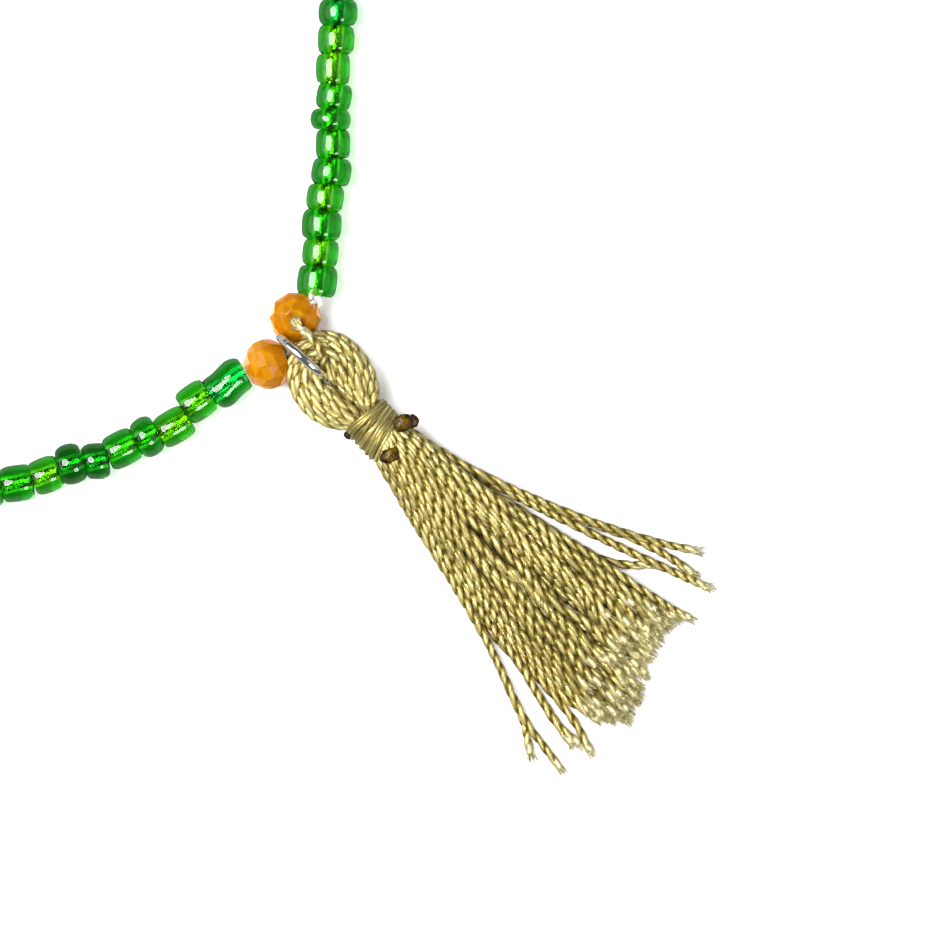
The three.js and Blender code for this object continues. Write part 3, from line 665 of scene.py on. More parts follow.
def silk_material(name, settings, across, along, light=1.0, groove=(0.34, 0.78), uneven=0.25):
    """Twisted silk: light on the crests and darkened by painted shade in the grooves, with fine fibres
    along the plies and pale where an end is cut."""
    material, tree, surface = new_material(name)
    fibres = placed_group(tree, fibre_group(), Across=across, Along=along)
    mottle = mottled(tree, 260.0, 0.3, 0.7)
    crest = [min(1.0, c * light) for c in settings.light[:3]]
    base = blend_of(
        tree, ranged(tree, fibres.outputs["Shade"], 0, 1, 0.0, 0.55), (*crest, 1), settings.dark
    )
    base = blend_of(tree, ranged(tree, mottle, 0, 1, 0.0, uneven), base, settings.dark)
    base = blend_of(tree, ranged(tree, fibres.outputs["Tone"], 0, 1, 0.0, uneven), base, settings.dark)
    # painted shade: the grooves between the plies are blended to the dark colour
    base = blend_of(tree, ranged(tree, fibres.outputs["Groove"], *groove), base, settings.dark)
    fray = node(tree, "ShaderNodeAttribute", attribute_name="fray").outputs["Fac"]
    base = blend_of(tree, ranged(tree, fray, 0.2, 1.0, 0.0, 0.7), base, settings.frayed)
    tree.links.new(base, surface.inputs["Base Color"])
    tree.links.new(ranged(tree, fibres.outputs["Shade"], 0, 1, 0.24, 0.42), surface.inputs["Roughness"])
    set_surface(surface, Metallic=0.65, Sheen_Weight=0.08, Sheen_Roughness=0.35)
    surface.inputs["Sheen Tint"].default_value = (1.0, 0.93, 0.68, 1)
    bump(tree, fibres.outputs["Height"], 0.7, 0.00006, surface)
    return material


def melted_material():
    """Thread melted to a glassy brown bead, with a painted amber glow on its upper side."""
    material, tree, surface = new_material("melted_thread")
    mottle = mottled(tree, 2100.0, 0.35, 0.62)
    amber = node(tree, "ShaderNodeAttribute", attribute_name="amber").outputs["Fac"]
    brown = blend_of(tree, mottle, (0.006, 0.003, 0.001, 1), (0.022, 0.01, 0.001, 1))
    # lit amber colour of the painted glow
    glow_colour = blend_of(tree, mottle, (0.01, 0.003, 0.0, 1), (0.15, 0.082, 0.0, 1))
    tree.links.new(blend_of(tree, amber, brown, glow_colour), surface.inputs["Base Color"])
    set_surface(surface, Roughness=0.08, IOR=1.33, Coat_Weight=0.0)
    bump(tree, mottle, 0.4, 0.00006, surface)
    return material


def cord_material(name, base, fibre, clear):
    """Stretch cord of fine strands: clear or whitish, waxy and faintly striped."""
    material, tree, surface = new_material(name)
    mottle = mottled(tree, 3000.0, 0.3, 0.7)
    tree.links.new(blend_of(tree, mottle, base, fibre), surface.inputs["Base Color"])
    tree.links.new(ranged(tree, mottle, 0, 1, 0.2, 0.45), surface.inputs["Roughness"])
    set_surface(surface, IOR=1.45, Transmission_Weight=clear)
    bump(tree, mottle, 0.5, 0.00004, surface)
    return material


# Beads


def route_of_string():
    """The string's route as a fine line, with the summed length to each of its points."""
    line = smooth_line([(x, y, 0.0) for x, y in STRING_ROUTE], 6000)
    reach = np.concatenate([[0.0], np.cumsum(np.linalg.norm(np.diff(line, axis=0), axis=1))])
    return line, reach


def beads_in_order(room):
    """All beads as rows of length, radius, sway, roundness, glass and place along the string. Between
    those that show at both ends, the same mix repeats and is eased in length until it fills the room."""
    def sized(rows):
        size = np.array([BEAD_LENGTH, BEAD_DIAMETER / 2, BEAD_DIAMETER, 1, 1])
        return np.array(rows, float) * size

    first, last = sized(BEADS_AFTER_KNOT), sized(BEADS_BEFORE_RONDELLE)
    mix = sized(BEADS_BEFORE_RONDELLE[1:] + BEADS_AFTER_KNOT)
    left = room - first[:, 0].sum() - last[:, 0].sum()
    total = np.concatenate([[0.0], np.cumsum(np.tile(mix[:, 0], 20))])
    count = int(np.argmax(total + BEAD_LENGTH / 2 >= left))
    hidden = np.tile(mix, (20, 1))[:count]
    hidden[:, 0] *= left / hidden[:, 0].sum()
    rows = np.vstack([first, hidden, last])
    middles = np.cumsum(rows[:, 0]) - rows[:, 0] / 2
    return np.column_stack([rows, middles])


def bead_frames(beads):
    """Middle, travel, across and up of each bead, with a small lean of its own."""
    line, reach = route_of_string()
    random = np.random.default_rng(7)
    at = np.column_stack([np.interp(beads[:, 5], reach, line[:, k]) for k in range(3)])
    step = np.column_stack([np.interp(beads[:, 5] + 0.1, reach, line[:, k]) for k in range(3)])
    back = np.column_stack([np.interp(beads[:, 5] - 0.1, reach, line[:, k]) for k in range(3)])
    travel = unit(step - back)
    across = np.cross(travel, UP)
    at = at + across * beads[:, 2:3] + UP * beads[:, 1:2]
    travel = unit(travel + across * random.normal(0, 0.05, (len(beads), 1)))
    across = unit(np.cross(travel, UP))
    return at, travel, across, np.cross(across, travel)


def bead_profile(bead, bore, steps):
    """Loop of a bead's section as lengths along its hole and out from it: a rounded rectangle in which
    each size is the half size times a cosine or sine to the power 2 over the roundness, spaced evenly."""
    long, radius, roundness = bead[0], bead[1], bead[3]
    t = np.linspace(0, 2 * math.pi, 721)
    c, s = np.cos(t), np.sin(t)
    power = 2 / np.where(s > 0, roundness, 4.5)
    along = long * 0.505 * np.sign(c) * np.abs(c) ** power
    out = (radius + bore) / 2 + (radius - bore) / 2 * np.sign(s) * np.abs(s) ** power
    loop = evenly(np.column_stack([along, out]), steps)[:-1]
    return loop[:, 0], loop[:, 1]


def lining_profile(bead, bore, steps):
    """Loop of the lining's section: the wall of the hole, a hair into the glass and back inside it."""
    long, radius = bead[0], bead[1]
    share = np.linspace(-0.93, 0.93, steps)
    wall = (radius + bore) / 2 - (radius - bore) / 2 * (1 - np.abs(share) ** 4.5) ** (1 / 4.5)
    along = np.concatenate([share, share[::-1]]) * long * 0.505
    out = np.concatenate([wall - 0.012, wall[::-1] + 0.012])
    return along, out


def add_lathe(skins, place, along, out, sides, kind, uneven=0.0, phase=0.0, bulge=0.0):
    """A section turned round a bead's hole: each point is the middle plus a length along its travel
    plus a radius times (cosine across + sine up). Unevenness lengthens one side by a cosine, and the
    bulge moves each slice across by the sine of its place, so the bead is bent like an S."""
    middle, travel, across, up = place
    angle = np.arange(sides) / sides * 2 * math.pi
    ring = across * np.cos(angle)[:, None] + up * np.sin(angle)[:, None]
    stretch = 1 + uneven * np.cos(angle - phase)
    bend = bulge * np.sin(along / along.max() * math.pi)
    points = (
        middle
        + travel * (along[:, None] * stretch)[..., None]
        + ring[None] * out[:, None, None]
        + across * bend[:, None, None]
    ).reshape(-1, 3)
    skins.add(points, band_faces(len(along), sides, closed=True)[:, ::-1], kind=kind)


def build_beads(settings):
    """The seed beads in three stretches, each of glass bodies and of their silver linings."""
    beads = beads_in_order(route_of_string()[1][-1])
    places = list(zip(*bead_frames(beads)))
    bore = settings.bore / MM / 2
    random = np.random.default_rng(11)
    uneven, phase = random.uniform(0, 0.06, len(beads)), random.uniform(0, 6.28, len(beads))
    bulge = random.normal(0, 0.006, len(beads))
    bulge[-1] = LAST_BEAD_BULGE
    tints = ("green", "lime", "emerald", "deep")
    glass = [glass_material(f"glass_{name}", getattr(settings, name)) for name in tints]
    silver = worn_metal(
        "silver_lining", (1500.0, 0.3, 0.75), (6500.0, 0.3, 0.7), (1.0, 0.88, 0.85, 1), (0.5, 0.44, 0.34, 1),
        (0.5, 0.00003),
    )
    shown, ends = len(BEADS_AFTER_KNOT), len(beads) - len(BEADS_BEFORE_RONDELLE)
    stretches = {
        "after_knot": (range(shown), 44, 40),
        "round_ankle": (range(shown, ends), 24, 18),
        "before_rondelle": (range(ends, len(beads)), 44, 40),
    }
    for name, (numbers, sides, steps) in stretches.items():
        bodies, linings = Skins(), Skins()
        for i in numbers:
            along, out = bead_profile(beads[i], bore, steps)
            bend = bulge[i] * BEAD_DIAMETER
            add_lathe(bodies, places[i], along, out, sides, int(beads[i, 4]), uneven[i], phase[i], bend)
            along, out = lining_profile(beads[i], bore, 9)
            add_lathe(linings, places[i], along, out, sides // 2, 0)
        new_piece(f"beads_{name}", bodies, glass, ["bead_string"])
        new_piece(f"linings_{name}", linings, [silver])


# Cord


def build_cord():
    """The stretch cord through everything, and its knot beside the first bead."""
    line, reach = route_of_string()
    beads = beads_in_order(reach[-1])
    height = np.interp(reach, beads[:, 5], beads[:, 1])
    inside = np.column_stack([line[:, :2], height])[::12]
    upper, lower = rondelle_place(UPPER_RONDELLE), rondelle_place(LOWER_RONDELLE)
    knot = np.array(KNOT_MIDDLE)
    half = RONDELLE[1] / 2
    joining = smooth_line(
        [
            inside[-1],
            lower[0] - lower[1] * half, lower[0] + lower[1] * half,
            (RING_ACROSS, 1.3, 1.9),
            upper[0] + upper[1] * (half + 0.12), upper[0] - upper[1] * half,
            knot,
            inside[0],
        ],
        120,
    )
    whole = np.vstack([inside, joining[1:]])
    skins = Skins()
    round_tube(skins, evenly(whole, 900), CORD_RADIUS, 10)
    clear = cord_material("clear_cord", (0.85, 0.87, 0.84, 1), (0.97, 0.98, 0.97, 1), 0.9)
    new_piece("cord_through_beads", skins, [clear], ["stretch_cord"])

    turn = np.linspace(0, 2 * math.pi, 121)
    random = np.random.default_rng(3)
    coil = np.column_stack(
        [
            np.sin(turn) + 2 * np.sin(2 * turn),
            np.cos(turn) - 2 * np.cos(2 * turn),
            -1.6 * np.sin(3 * turn),
        ]
    )
    skins = Skins()
    for shift in np.linspace(-0.07, 0.07, 4):
        round_tube(skins, knot + coil * (0.23 + shift * 0.4) + shift, 0.12, 7)
    share = np.linspace(0, 1, 6)[:, None]
    for _ in range(46):
        way = unit(random.normal(0, 1, 3) + np.array([0.1, -0.5, 0.25]))
        bend = random.normal(0, 0.3, 3)
        hair = knot + way * (0.25 + share * random.uniform(0.2, 0.45)) + bend * share**2
        hair[:, 2] = np.maximum(hair[:, 2], 0.05)
        round_tube(skins, hair, 0.032 * (1.2 - share[:, 0]), 4)
    white = cord_material("knot_fibre", (0.9, 0.91, 0.88, 1), (0.6, 0.64, 0.57, 1), 0.0)
    new_piece("cord_knot", skins, [white])


# Rondelles


def rondelle_place(place):
    """Middle and axis of a rondelle, and the matrix that turns its own axis there. It stands as high as
    its lowest point needs to touch the ground."""
    x, y, heading, rise, spin = place
    turn = Matrix.Rotation(math.radians(heading), 3, "Z") @ Matrix.Rotation(math.radians(90 - rise), 3, "Y")
    turn = np.array(turn @ Matrix.Rotation(math.radians(spin), 3, "Z"))
    lowest = (rondelle_points() @ turn.T)[:, 2].min()
    return np.array([x, y, -lowest]), turn[:, 2], turn


def rondelle_points():
    """Corner points of a cut rondelle round the Z axis, ring by ring: radius times cosine and sine of
    the ring's angles, with every second ring turned half a step; the hole's two rings come last."""
    diameter, long, hole = RONDELLE
    rings = RONDELLE_RINGS + [(1.0, hole / diameter, 0.5), (-1.0, hole / diameter, 0.5)]
    height, size, turn = np.array(rings).T
    angle = (np.arange(RONDELLE_FACETS)[None, :] + turn[:, None]) / RONDELLE_FACETS * 2 * math.pi
    radius = (diameter / 2 * size)[:, None]
    up = np.broadcast_to((height * long / 2)[:, None], angle.shape)
    return np.stack([radius * np.cos(angle), radius * np.sin(angle), up], axis=-1).reshape(-1, 3)


def rondelle_faces():
    """Facets between the rings: triangles where one ring is turned against the next, else four-sided."""
    i = np.arange(RONDELLE_FACETS)
    after = (i + 1) % RONDELLE_FACETS
    turns = [ring[2] for ring in RONDELLE_RINGS] + [0.5, 0.5]
    quads, triangles = [], []
    for low, turn in enumerate(turns):
        high = (low + 1) % len(turns)
        a, b = low * RONDELLE_FACETS, high * RONDELLE_FACETS
        if turn == turns[high]:
            quads.append(np.stack([a + i, a + after, b + after, b + i], axis=1))
        elif turn > turns[high]:
            triangles.append(np.stack([a + i, b + after, b + i], axis=1))
            triangles.append(np.stack([a + i, a + after, b + after], axis=1))
        else:
            triangles.append(np.stack([a + i, a + after, b + i], axis=1))
            triangles.append(np.stack([a + after, b + after, b + i], axis=1))
    return np.concatenate(quads), np.concatenate(triangles)


def build_rondelles(settings):
    """Both faceted rondelles, with their edges softened and a tone of its own for each facet."""
    material = rondelle_material(settings)
    random = np.random.default_rng(17)
    for name, place in (("rondelle_upper", UPPER_RONDELLE), ("rondelle_lower", LOWER_RONDELLE)):
        middle, axis, turn = rondelle_place(place)
        skins = Skins()
        skins.add(rondelle_points() @ turn.T + middle, *rondelle_faces())
        piece = new_piece(f"cut_{name}", skins, [material], [name])
        facets = len(piece.data.polygons)
        piece.data.polygons.foreach_set("use_smooth", np.zeros(facets, bool))
        tones = piece.data.attributes.new("facet", "FLOAT", "FACE")
        tones.data.foreach_set("value", random.uniform(0, 1, facets))
        bevel = piece.modifiers.new("soft_edges", "BEVEL")
        bevel.width = 0.05 * MM
        bevel.segments = 2
        bevel.limit_method = "ANGLE"
        bevel.angle_limit = math.radians(8)


# Ring


def build_ring():
    """The jump ring: a circle's section carried round a circle, with a fine seam where the wire's ends
    meet, which narrows the section by a sharp bell curve."""
    around = np.arange(144) / 144 * 2 * math.pi
    section = np.arange(24) / 24 * 2 * math.pi
    off = np.angle(np.exp(1j * (around - 2.4)))
    wire = RING_WIRE / 2 * (1 - 0.14 * np.exp(-((off / 0.03) ** 2)))
    middle = (RING_DIAMETER - RING_WIRE) / 2
    out = middle + wire[:, None] * np.cos(section)
    points = np.stack(
        [
            out * np.cos(around)[:, None],
            out * np.sin(around)[:, None],
            wire[:, None] * np.sin(section),
        ],
        axis=-1,
    ).reshape(-1, 3)
    turn = Matrix.Rotation(math.radians(RING_HEADING), 3, "Z") @ Matrix.Rotation(
        math.radians(90 - RING_LEAN), 3, "Y"
    )
    points = points @ np.array(turn).T + np.array([RING_ACROSS, RING_ALONG, 0])
    points[:, 2] += middle * math.cos(math.radians(RING_LEAN)) + RING_WIRE / 2
    skins = Skins()
    skins.add(points, band_faces(144, 24, closed=True))
    metal = worn_metal(
        "plated_wire", (1300.0, 0.45, 0.75), (5200.0, 0.3, 0.7), (0.86, 0.87, 0.89, 1),
        (0.66, 0.65, 0.65, 1), (0.15, 0.00001),
    )
    new_piece("plated_ring", skins, [metal], ["jump_ring"])


# Tassel


def under_ring(line, share, aside):
    """A thread's line, kept clear of the ring's wire: within the ring it stays below the inner circle,
    whose height is the middle plus the root of the radius squared less the distance along squared. At
    the wire's far side it stays aside, to the left or the right, by which lobe it is in."""
    middle, inner = RING_DIAMETER / 2, RING_DIAMETER / 2 - RING_WIRE
    away = np.abs(line[:, 0] - RING_ACROSS)
    along = line[:, 1] - RING_ALONG
    roof = middle + np.sqrt(np.clip(inner**2 - along**2, 0, None)) - 0.36
    roof = roof + 4 * smooth_step(0.5, 1.5, away) + 4 * smooth_step(-1.7, -2.0, along)
    line[:, 2] = np.minimum(line[:, 2], roof)
    beside = smooth_step(-0.9, -2.0, along) * smooth_step(-3.25, -2.55, along)
    left = np.minimum(line[:, 0], RING_ACROSS - aside)
    right = np.maximum(line[:, 0], RING_ACROSS + aside)
    line[:, 0] += (np.where(share < 0.5, left, right) - line[:, 0]) * beside
    return line


def head_lines(random):
    """Lines of the head's threads. Each lies on the bundle's squarish oval skin at an angle of its own:
    middle plus half width times cosine across plus half height times sine up, both to the power 0.8.
    Where the oval is too tight for all of them, every second one sinks towards the middle."""
    rows = smooth_line(HEAD_BUNDLE, 110)
    middle, wide, high = rows[:, :3], rows[:, 3] - 0.36, rows[:, 4] - 0.34
    along, across, up = directions(middle)
    share = np.linspace(0, 1, len(rows))
    girth = math.pi * (wide + high)
    lines = []
    for i in range(HEAD_THREADS + CORE_THREADS):
        outer = i < HEAD_THREADS
        turn = (i + 0.5) / HEAD_THREADS if outer else (i - HEAD_THREADS) / CORE_THREADS
        angle = turn * 2 * math.pi
        angle = angle + wander(share, 0.16, random)[:, 0]
        tight = np.clip(1 - girth / (HEAD_THREADS * 0.6), 0, 0.6)
        depth = 1 - tight * (i % 2) * 1.1 if outer else np.full(len(rows), 0.52)
        c, s = np.cos(angle), np.sin(angle)
        line = (
            middle
            + across * (wide * depth * np.sign(c) * np.abs(c) ** 0.8)[:, None]
            + up * (high * depth * np.sign(s) * np.abs(s) ** 0.8)[:, None]
        )
        line = under_ring(line, share, SKIN_ASIDE if outer else CORE_ASIDE)
        line[:, 2] = np.maximum(line[:, 2], 0.33)
        lines.append(line)
    return lines


def skirt_line(share_across, layer, random):
    """Line of one strand of the skirt. It starts on the round neck, at its layer's height in the circle,
    and fans out between the skirt's two edges by its share across, while it sinks to its layer's height
    over the ground. Strands of the upper layers stand aside from the partings by a bell curve of their
    distance, each to the side on which it mostly lies."""
    shorter = SKIRT_LAYERS[layer][2]
    edges = np.array(SKIRT_EDGES)[::-1]
    tips = np.array(SKIRT_TIPS)
    tip = np.interp(share_across, tips[:, 0], tips[:, 1]) + shorter * random.uniform(0.3, 1.25)
    tip += random.normal(0, 0.35)
    down = np.linspace(-9.0, tip, 150)
    left, right = np.interp(down, edges[:, 0], edges[:, 1]), np.interp(down, edges[:, 0], edges[:, 2])
    drift = wander(np.linspace(0, 1, len(down)), 0.26, random, (1.3, 2.9, 4.7))
    free = smooth_step(-11.0, -22.0, down)
    side = np.clip(share_across + random.normal(0, 0.012), 0.0, 1.0)
    across = left + (right - left) * side + drift[:, 0] * free
    # on the neck, strands of a layer share an arc of the circle
    level = layer / (len(SKIRT_LAYERS) - 1) * 2 - 1
    chord = np.sqrt(np.clip(1 - (2 * side - 1) ** 2, 0, 1))
    height_round = NECK_MIDDLE + 1.5 * level * chord
    spacing = np.interp(down, [-38, -30, -23, -16, -9], [0.36, 0.44, 0.6, 0.75, 0.85])
    height_flat = 0.34 + layer * spacing + np.abs(drift[:, 1]) * 0.5
    settle = smooth_step(-10.0, -21.0, down)
    height = height_round * (1 - settle) + height_flat * settle
    for (x0, y0), (x1, y1), wide in PARTINGS:
        middle = np.interp(down, [y1, y0], [x1, x0])
        window = smooth_step(y1 - 2.6, y1 + 0.6, down) * smooth_step(y0 + 2.6, y0 - 0.6, down)
        away = across - middle
        lies = math.tanh((away * window).sum() / max(window.sum(), 1e-6) / 0.2)
        across = across + lies * wide * window * np.exp(-((away / 1.2) ** 2)) * (layer > 0)
    return np.column_stack([across, down, np.maximum(height, 0.34)])


def build_head(settings):
    """The head's looped threads and the tie thread with its frayed end."""
    random = np.random.default_rng(21)
    strand, pitch = settings.strand / MM, settings.pitch / MM
    silk = silk_material("silk_strand", settings, 9.0, 1.1, 1.08, uneven=0.4)
    # painted light: the head's copy of the silk has lighter crests and less painted groove shade than the
    # skirt's
    lighter_head_silk = silk_material("silk_head", settings, 9.0, 1.1, 1.1, (0.5, 0.98))
    skins = Skins()
    for line in head_lines(random):
        add_strand(skins, evenly(line, 110), strand, pitch, random, fray=False)
    new_piece("head_threads", skins, [lighter_head_silk], ["tassel"])
    skins = Skins()
    tie = smooth_line(TIE_THREAD, 40)
    add_strand(skins, tie, strand * 0.95, pitch, random)
    ends = []
    for way in np.array(TIE_FIBRES):
        line = smooth_line([tie[-3], tie[-1] + way * 0.4, tie[-1] + way - UP * 0.2], 10)
        thin = np.linspace(0.48, 0.2, len(line)) * strand * 0.5
        thread = np.array([random.uniform(0, 0.6), 0.0, random.uniform()])
        round_tube(skins, line, thin, 8, thread=thread[None, None], fray=np.full((1, 1), 0.55))
        ends.append((line[-1], line[-1] - line[-3]))
    add_fibres(skins, [e[0] for e in ends], [e[1] for e in ends], 12, strand * 0.5, random, 0.7)
    new_piece("tie_thread", skins, [silk])
    return silk


def build_skirt(settings, silk):
    """The skirt's strands, layer by layer, with the loose ones beside it and all the frayed ends."""
    random = np.random.default_rng(33)
    strand, pitch = settings.strand / MM, settings.pitch / MM
    tips, headings = [], []

    def strand_along(skins, line):
        add_strand(skins, line, strand * random.uniform(0.92, 1.05), pitch * random.uniform(0.88, 1.16), random)
        tips.append(line[-1])
        headings.append(line[-1] - line[-4])

    for layer, (count, margin, _) in enumerate(SKIRT_LAYERS):
        skins = Skins()
        for i in range(count):
            share = margin + (1 - 2 * margin) * (i + 0.5 * (layer % 2)) / (count - 0.5)
            line = skirt_line(min(share, 1.0), layer, random)
            steps = int(np.linalg.norm(line[-1] - line[0]) / 0.2)
            strand_along(skins, evenly(line, steps))
        new_piece(f"skirt_layer_{layer + 1}", skins, [silk])
    skins = Skins()
    for points in LOOSE_STRANDS:
        steps = int(np.linalg.norm(np.diff(np.array(points), axis=0), axis=1).sum() / 0.2)
        strand_along(skins, smooth_line(points, steps))
    new_piece("loose_strands", skins, [silk])
    skins = Skins()
    add_fibres(skins, tips, headings, 20, strand, random, 1.3)
    new_piece("frayed_ends", skins, [silk])


def build_binding(settings):
    """The neck's binding: fine thread wound round a cylinder in three layers, each a helix whose turns
    lean, so that the length along the neck changes with the cosine of the angle. The lean grows from
    one end to the other, and the last layer has few turns that cross the others."""
    random = np.random.default_rng(5)
    start, end, radius = BINDING
    thick = settings.winding / MM
    sides = 10
    around = np.arange(sides) / sides * 2 * math.pi
    skins = Skins()
    layers = ((0.24, 11, -0.1, 0.0, 1.0), (0.08, 11.5, 0.0, 0.0, 1.0), (-0.02, 5, 0.2, 0.1, 0.93))
    for inner, turns, lean, first, last in layers:
        t = np.linspace(0, turns, int(turns * 52))
        share = t / turns
        angle = t * 2 * math.pi
        place = first + (last - first) * share
        bulge = 1 - 0.03 * (2 * place - 1) ** 2
        out = (radius - thick / 2 - inner) * bulge + wander(share, 0.05, random, (5, 13, 29))[:, 0]
        tilt = BINDING_LEAN[0] + (BINDING_LEAN[1] - BINDING_LEAN[0]) * place + lean
        y = start - 0.15 + (end - start + 0.3) * place
        y = y + tilt * np.cos(angle) + wander(share, 0.08, random, (7, 17, 23))[:, 0]
        outward = np.column_stack([np.cos(angle), np.zeros_like(angle), np.sin(angle)])
        line = np.array([TASSEL_AXIS, 0, NECK_MIDDLE]) + outward * out[:, None]
        line[:, 1] = y
        thread = np.zeros((len(t), sides, 3))
        # painted shade: each winding's groove mask is 0 on its outward face and grows round its sides and inner
        # half, where the turns shade each other
        thread[..., 0] = np.clip(1 - np.sin(around), 0, 1) * 0.85
        thread[..., 1] = t[:, None] * 9
        thread[..., 2] = 0.5 + 0.5 * np.sin(t * 1.9 + inner * 9)[:, None]
        radii = np.full((len(t), sides), thick / 2)
        turned = np.broadcast_to(around, radii.shape)
        add_tube(skins, line, radii, turned, outward, thread=thread, fray=np.zeros((1, 1)))
    silk = silk_material("binding_silk", settings, 14.0, 0.25, 1.05, (0.18, 0.62), 0.65)
    new_piece("wound_binding", skins, [silk], ["neck_binding"])


def build_melted_ends():
    """Melted thread ends: balls whose radius swells and dips by sums of sines of both angles."""
    material = melted_material()
    random = np.random.default_rng(9)
    rows, columns = 22, 36
    tilt = (np.arange(rows) + 1) / (rows + 1) * math.pi
    angle = np.arange(columns) / columns * 2 * math.pi
    for name, blobs in MELTED_ENDS.items():
        skins = Skins()
        for x, y, z, across, along, up, amber in blobs:
            lump = sum(
                0.09 * np.sin(a * tilt[:, None] + p) * np.cos(b * angle[None, :] + q)
                for a, b, p, q in zip((3, 5, 8), (2, 4, 6), *random.uniform(0, 6, (2, 3)))
            )
            out = 1 + lump * np.sin(tilt)[:, None]
            round_part = np.stack(
                [
                    out * np.sin(tilt)[:, None] * np.cos(angle),
                    out * np.sin(tilt)[:, None] * np.sin(angle),
                    out * np.cos(tilt)[:, None] * np.ones(columns),
                ],
                axis=-1,
            ).reshape(-1, 3)
            shape = np.vstack([round_part, [[0, 0, 1], [0, 0, -1]]])
            # painted glow: amber on each blob's upper part, growing towards its top
            glow = amber * np.clip(shape[:, 2] * 1.2 - 0.1, 0, 1) ** 1.5
            points = shape * np.array([across, along, up]) + np.array([x, y, z])
            skins.add(points, band_faces(rows, columns), cap_faces(rows, columns), amber=glow)
        new_piece(f"glassy_{name}", skins, [material], [name])


# Stage


def build_stage(settings):
    """A pale floor that glows faintly and is grey in mirror reflections, a soft key light over the
    beads' side, wide lights behind it and opposite, a small one on the far side, a dim room and the
    camera."""
    material, tree, surface = new_material("floor_white")
    mottle = mottled(tree, 60.0, 0.2, 0.8)
    pale = blend_of(tree, mottle, (0.93, 0.93, 0.93, 1), (0.94, 0.94, 0.945, 1))
    path = node(tree, "ShaderNodeLightPath").outputs
    mirrored = product(tree, path["Is Glossy Ray"], path["Is Reflection Ray"])
    pale = blend_of(tree, mirrored, pale, (0.24, 0.25, 0.25, 1))
    tree.links.new(pale, surface.inputs["Base Color"])
    tree.links.new(pale, surface.inputs["Emission Color"])
    set_surface(surface, Emission_Strength=0.28, Roughness=0.9, Specular_IOR_Level=0.1)
    mesh = bpy.data.meshes.new("floor")
    corners = np.array([(-1, -1, 0), (1, -1, 0), (1, 1, 0), (-1, 1, 0)]) * 1.5
    mesh.from_pydata(corners.tolist(), [], [(0, 1, 2, 3)])
    mesh.materials.append(material)
    floor = bpy.data.objects.new("floor", mesh)
    bpy.context.scene.collection.objects.link(floor)

    middle = Vector(VIEW_MIDDLE)
    for name, place, size, setting, share in LIGHTS:
        data = bpy.data.lights.new(name, "AREA")
        data.shape = "DISK"
        data.size = size
        data.energy = getattr(settings, setting) * share
        light = bpy.data.objects.new(name, data)
        bpy.context.scene.collection.objects.link(light)
        light.location = place
        light.rotation_euler = (middle - Vector(place)).to_track_quat("-Z", "Y").to_euler()

    world = bpy.data.worlds.new("room")
    bpy.context.scene.world = world
    world.use_nodes = True
    world.node_tree.nodes["Background"].inputs[0].default_value = (0.9, 0.92, 0.95, 1)
    world.node_tree.nodes["Background"].inputs[1].default_value = 0.15

    data = bpy.data.cameras.new("camera")
    camera = bpy.data.objects.new("camera", data)
    bpy.context.scene.collection.objects.link(camera)
    data.sensor_width = 36.0
    data.lens = data.sensor_width * VIEW_HEIGHT / settings.view_width
    data.clip_start, data.clip_end = 0.01, 20.0
    right, above = Vector((0.7372, -0.6757, 0.0)), Vector((0.6757, 0.7372, 0.0))
    turn = Matrix((right, above, Vector((0, 0, 1)))).transposed()
    camera.matrix_world = Matrix.Translation(middle + Vector((0, 0, VIEW_HEIGHT))) @ turn.to_4x4()
    bpy.context.scene.camera = camera
    bpy.context.scene.view_settings.view_transform = "Standard"


# Operators


class ANKLET_OT_stage(bpy.types.Operator):
    """Makes the floor, the lights and the camera"""

    bl_idname = "anklet.stage"
    bl_label = "Stage"

    def execute(self, context):
        build_stage(context.scene.anklet_stage)
        return {"FINISHED"}


class ANKLET_OT_beads(bpy.types.Operator):
    """Makes the green glass beads and their silver linings"""

    bl_idname = "anklet.beads"
    bl_label = "Glass Beads"

    def execute(self, context):
        build_beads(context.scene.anklet_beads)
        return {"FINISHED"}


class ANKLET_OT_cord(bpy.types.Operator):
    """Makes the stretch cord and its knot"""

    bl_idname = "anklet.cord"
    bl_label = "Stretch Cord"

    def execute(self, context):
        build_cord()
        return {"FINISHED"}


class ANKLET_OT_rondelles(bpy.types.Operator):
    """Makes the two faceted orange rondelles"""

    bl_idname = "anklet.rondelles"
    bl_label = "Rondelles"

    def execute(self, context):
        build_rondelles(context.scene.anklet_beads)
        return {"FINISHED"}


class ANKLET_OT_ring(bpy.types.Operator):
    """Makes the jump ring"""

    bl_idname = "anklet.ring"
    bl_label = "Jump Ring"

    def execute(self, context):
        build_ring()
        return {"FINISHED"}


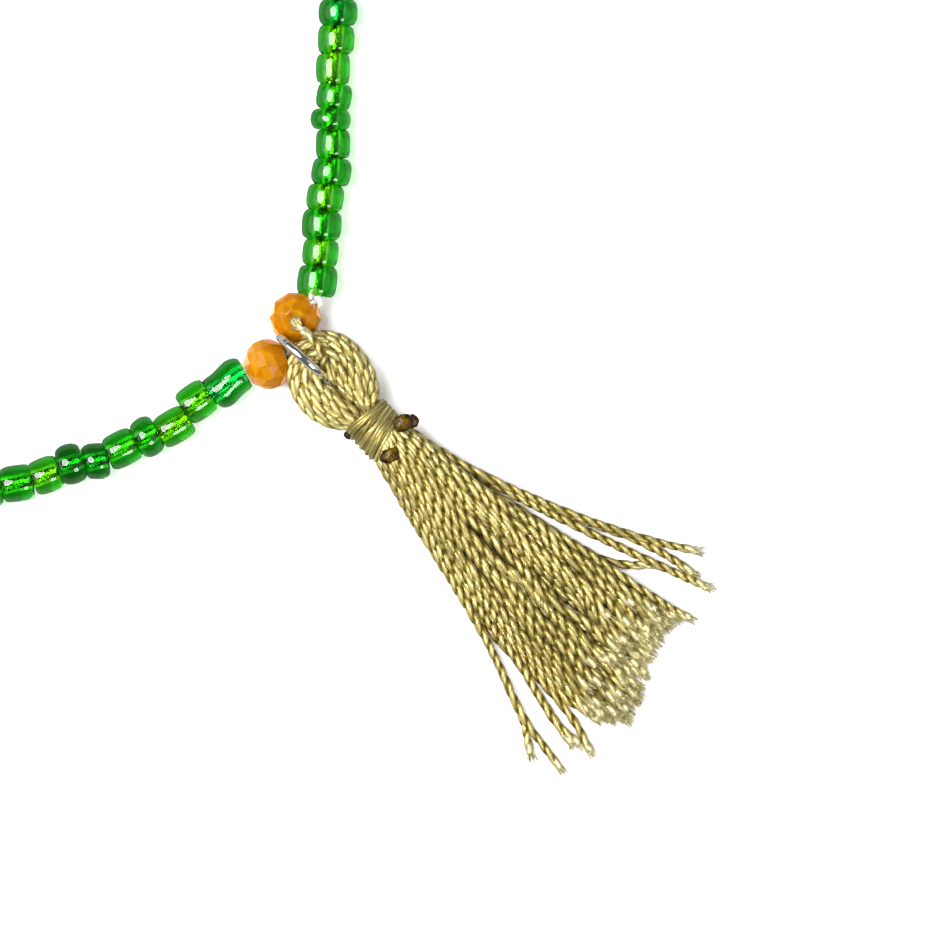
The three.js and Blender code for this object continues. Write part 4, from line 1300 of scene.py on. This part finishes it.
class ANKLET_OT_tassel(bpy.types.Operator):
    """Makes the tassel's head, tie thread, skirt and frayed ends"""

    bl_idname = "anklet.tassel"
    bl_label = "Tassel"

    def execute(self, context):
        silk = build_head(context.scene.anklet_thread)
        build_skirt(context.scene.anklet_thread, silk)
        return {"FINISHED"}


class ANKLET_OT_binding(bpy.types.Operator):
    """Makes the neck's binding and the melted thread ends round it"""

    bl_idname = "anklet.binding"
    bl_label = "Binding"

    def execute(self, context):
        build_binding(context.scene.anklet_thread)
        build_melted_ends()
        return {"FINISHED"}


class ANKLET_PT_panel(bpy.types.Panel):
    """Lists the anklet's pieces, with their sizes and colours"""

    bl_idname = "ANKLET_PT_panel"
    bl_label = "Beaded Anklet"
    bl_space_type = "VIEW_3D"
    bl_region_type = "UI"
    bl_category = "Anklet"

    def draw(self, context):
        for operator in OPERATORS:
            self.layout.operator(operator.bl_idname)
        for name in SETTINGS:
            settings = getattr(context.scene, name)
            box = self.layout.box()
            for prop in settings.bl_rna.properties:
                if prop.identifier in settings.__annotations__:
                    box.prop(settings, prop.identifier)


OPERATORS = [
    ANKLET_OT_stage, ANKLET_OT_beads, ANKLET_OT_cord, ANKLET_OT_rondelles, ANKLET_OT_ring,
    ANKLET_OT_tassel, ANKLET_OT_binding,
]
SETTINGS = {
    "anklet_beads": AnkletBeadSettings,
    "anklet_thread": AnkletThreadSettings,
    "anklet_stage": AnkletStageSettings,
}


def register():
    for kind in (*SETTINGS.values(), *OPERATORS, ANKLET_PT_panel):
        bpy.utils.register_class(kind)
    for name, kind in SETTINGS.items():
        setattr(bpy.types.Scene, name, bpy.props.PointerProperty(type=kind))


def unregister():
    for name in SETTINGS:
        delattr(bpy.types.Scene, name)
    for kind in (ANKLET_PT_panel, *reversed(OPERATORS), *SETTINGS.values()):
        bpy.utils.unregister_class(kind)


def main():
    """Builds every piece."""
    register()
    bpy.ops.anklet.stage()
    bpy.ops.anklet.beads()
    bpy.ops.anklet.cord()
    bpy.ops.anklet.rondelles()
    bpy.ops.anklet.ring()
    bpy.ops.anklet.tassel()
    bpy.ops.anklet.binding()


if __name__ == "__main__":
    main()
